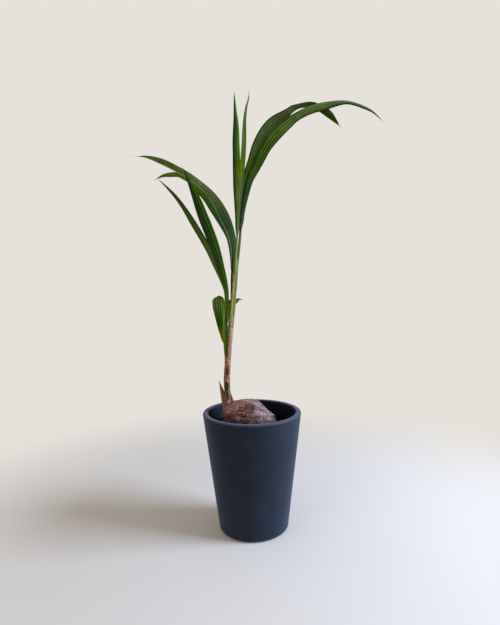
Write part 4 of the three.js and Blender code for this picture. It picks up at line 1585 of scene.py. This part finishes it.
class PALM_OT_nut(bpy.types.Operator):
    """Model the husked nut and the loose fibres on it"""

    bl_idname = "palm.nut"
    bl_label = "Nut"

    def execute(self, context):
        mesh = bmesh.new()
        tube(
            mesh, NUT["around"], NUT["along"],
            lambda turn, along: nut_place(turn, along, husk_relief(turn % 1, along)),
            husk_crest,
        )
        finish_piece("husked_nut", mesh, husk_material(), ["nut"])
        chance = random.Random(SEED)
        loose = bmesh.new()
        for _ in range(context.scene.palm.fibres):
            self.add_fibre(loose, chance)
        for _ in range(FIBRES["frayed"]):
            self.add_frayed(loose, chance)
        finish_piece("husk_fibres", loose, fibre_material())
        return {"FINISHED"}

    def on_skin(self, turn, along, lift):
        held = min(max(along, 0.02), 0.98)
        return nut_place(turn, held, husk_relief(turn % 1, held) + lift)

    def add_fibre(self, mesh, chance):
        """A fibre that lies along the husk, with its ends a little off it."""
        turn, start = chance.uniform(-LYING["turn"], LYING["turn"]), chance.uniform(*LYING["start"])
        length, drift = chance.uniform(*LYING["length"]), chance.gauss(0, LYING["drift"])
        bend, ends = chance.gauss(0, LYING["bend"]), chance.uniform(*LYING["ends"])
        points = []
        for i, lift in enumerate((ends, LYING["middle"], LYING["middle"], ends)):
            at = turn + drift * i / 3 + bend * (i % 2)
            points.append(self.on_skin(at, start + length * i / 3, lift))
        strand(mesh, points, FIBRES["thick"] * chance.uniform(*LYING["thick"]))

    def add_frayed(self, mesh, chance):
        """A fibre that starts on the nut's frayed end and hangs out past it."""
        turn, start = chance.uniform(-FRAYED["turn"], FRAYED["turn"]), chance.uniform(*FRAYED["start"])
        root = self.on_skin(turn, start, 0)
        turned = turn + chance.gauss(0, FRAYED["drift"])
        knee = self.on_skin(turned, start + FRAYED["knee"], chance.uniform(*FRAYED["lift"]))
        way = (knee - root).normalized()
        reach = chance.uniform(*FRAYED["reach"])
        end = knee + way * reach - Vector((0, 0, chance.uniform(*FRAYED["droop"]) * reach))
        arch = (knee + end) / 2 + Vector((0, 0, FRAYED["arch"]))
        strand(mesh, [root, knee, arch, end], FIBRES["thick"] * chance.uniform(*FRAYED["thick"]))


class PALM_OT_stem(bpy.types.Operator):
    """Model the stem with its torn sheaths, and the dry scales round its foot"""

    bl_idname = "palm.stem"
    bl_label = "Stem"

    def execute(self, context):
        finish_piece("sheathed_stem", stem_mesh(), stem_material(), ["stem"])
        finish_piece("sheath_net", net_mesh(), net_material())
        papery = scale_material()
        for name, scale in SCALES.items():
            mesh = bmesh.new()
            self.add_scale(mesh, scale["spine"], Vector(scale["facing"]), scale["size"])
            piece = finish_piece(f"papery_{name}", mesh, papery, [name])
            give_thickness(piece, SCALE["thick"])
        torn = bmesh.new()
        chance = random.Random(SEED)
        for i in range(TORN["count"]):
            uneven = chance.uniform(-TORN["uneven"], TORN["uneven"])
            self.add_torn(torn, math.tau * i / TORN["count"] + uneven, chance)
        give_thickness(finish_piece("torn_foot_scales", torn, papery), SCALE["thick"])
        return {"FINISHED"}

    def add_scale(self, mesh, spine, facing, size):
        """A pointed scale, hollow like half a tube, with a slightly ragged outline."""
        curve = Curve(spine)

        def place(across, along):
            width = reading(SCALE["widths"], along) * size
            spot = Vector((across * SCALE["ragged_across"], along * SCALE["ragged_along"], spine[0][0]))
            ragged = 1 + SCALE["ragged"] * noise.noise(spot)
            out, normal = square_to(curve.tangent(along), facing)
            lift = SCALE["bow"] * width * 4 * across * (1 - across)
            return curve.point(along) + out * (across - 0.5) * width * ragged + normal * lift

        grid(mesh, SCALE["columns"], SCALE["rows"], place)

    def add_torn(self, mesh, angle, chance):
        """A short torn scale that hugs the stem's foot."""
        way = Vector((math.cos(angle), math.sin(angle), 0))
        base, height = Vector((*TORN["middle"], 0)), chance.uniform(*TORN["height"])
        foot, middle, tip = TORN["out"]
        spine = [
            base + way * foot + Vector((0, 0, TORN["foot"])),
            base + way * middle + Vector((0, 0, TORN["foot"] + height * TORN["bend_at"])),
            base + way * (tip + chance.uniform(*TORN["tip_out"])) + Vector((0, 0, TORN["foot"] + height)),
        ]
        facing = Vector((-way.y, way.x, 0))
        self.add_scale(mesh, [tuple(p) for p in spine], facing, chance.uniform(*TORN["size"]))


class PALM_OT_leaves(bpy.types.Operator):
    """Model the five leaves: blades, stalks with their ribs, and the threads at the tips"""

    bl_idname = "palm.leaves"
    bl_label = "Leaves"

    def execute(self, context):
        for name, leaf in LEAVES.items():
            mesh = bmesh.new()
            for side, lobe in zip((-1, 1), leaf["lobes"].values()):
                blade_half(mesh, leaf, lobe, side)
            nodes = [f"leaf_{name}_blade", *(f"leaf_{name}_{lobe}_lobe" for lobe in leaf["lobes"])]
            material = blade_material(name, leaf)
            blades = finish_piece(f"{name}_leaf_blades", mesh, material, nodes)
            give_thickness(blades, context.scene.palm.blade_thickness / MM)
            waxy = stalk_material(name, leaf["stalk_tone"])
            finish_piece(f"{name}_leaf_stalk", stalk_mesh(leaf), waxy)
        finish_piece("leaf_tip_threads", threads_mesh(), thread_material())
        return {"FINISHED"}


class PALM_PT_panel(bpy.types.Panel):
    """The palm's pieces, in the order in which they are made"""

    bl_label = "Potted coconut palm"
    bl_space_type = "VIEW_3D"
    bl_region_type = "UI"
    bl_category = "Palm"

    def draw(self, context):
        for group in (context.scene.palm, context.scene.palm_stage):
            for name in group.__annotations__:
                self.layout.prop(group, name)
        for operator in OPERATORS:
            self.layout.operator(operator.bl_idname)


OPERATORS = (PALM_OT_stage, PALM_OT_pot, PALM_OT_mix, PALM_OT_nut, PALM_OT_stem, PALM_OT_leaves)
CLASSES = (PalmSettings, StageSettings, *OPERATORS, PALM_PT_panel)


def register():
    for cls in CLASSES:
        bpy.utils.register_class(cls)
    bpy.types.Scene.palm = bpy.props.PointerProperty(type=PalmSettings)
    bpy.types.Scene.palm_stage = bpy.props.PointerProperty(type=StageSettings)


def unregister():
    del bpy.types.Scene.palm_stage
    del bpy.types.Scene.palm
    for cls in reversed(CLASSES):
        bpy.utils.unregister_class(cls)


def main():
    register()
    bpy.ops.palm.stage()
    bpy.ops.palm.pot()
    bpy.ops.palm.mix()
    bpy.ops.palm.nut()
    bpy.ops.palm.stem()
    bpy.ops.palm.leaves()


if __name__ == "__main__":
    main()
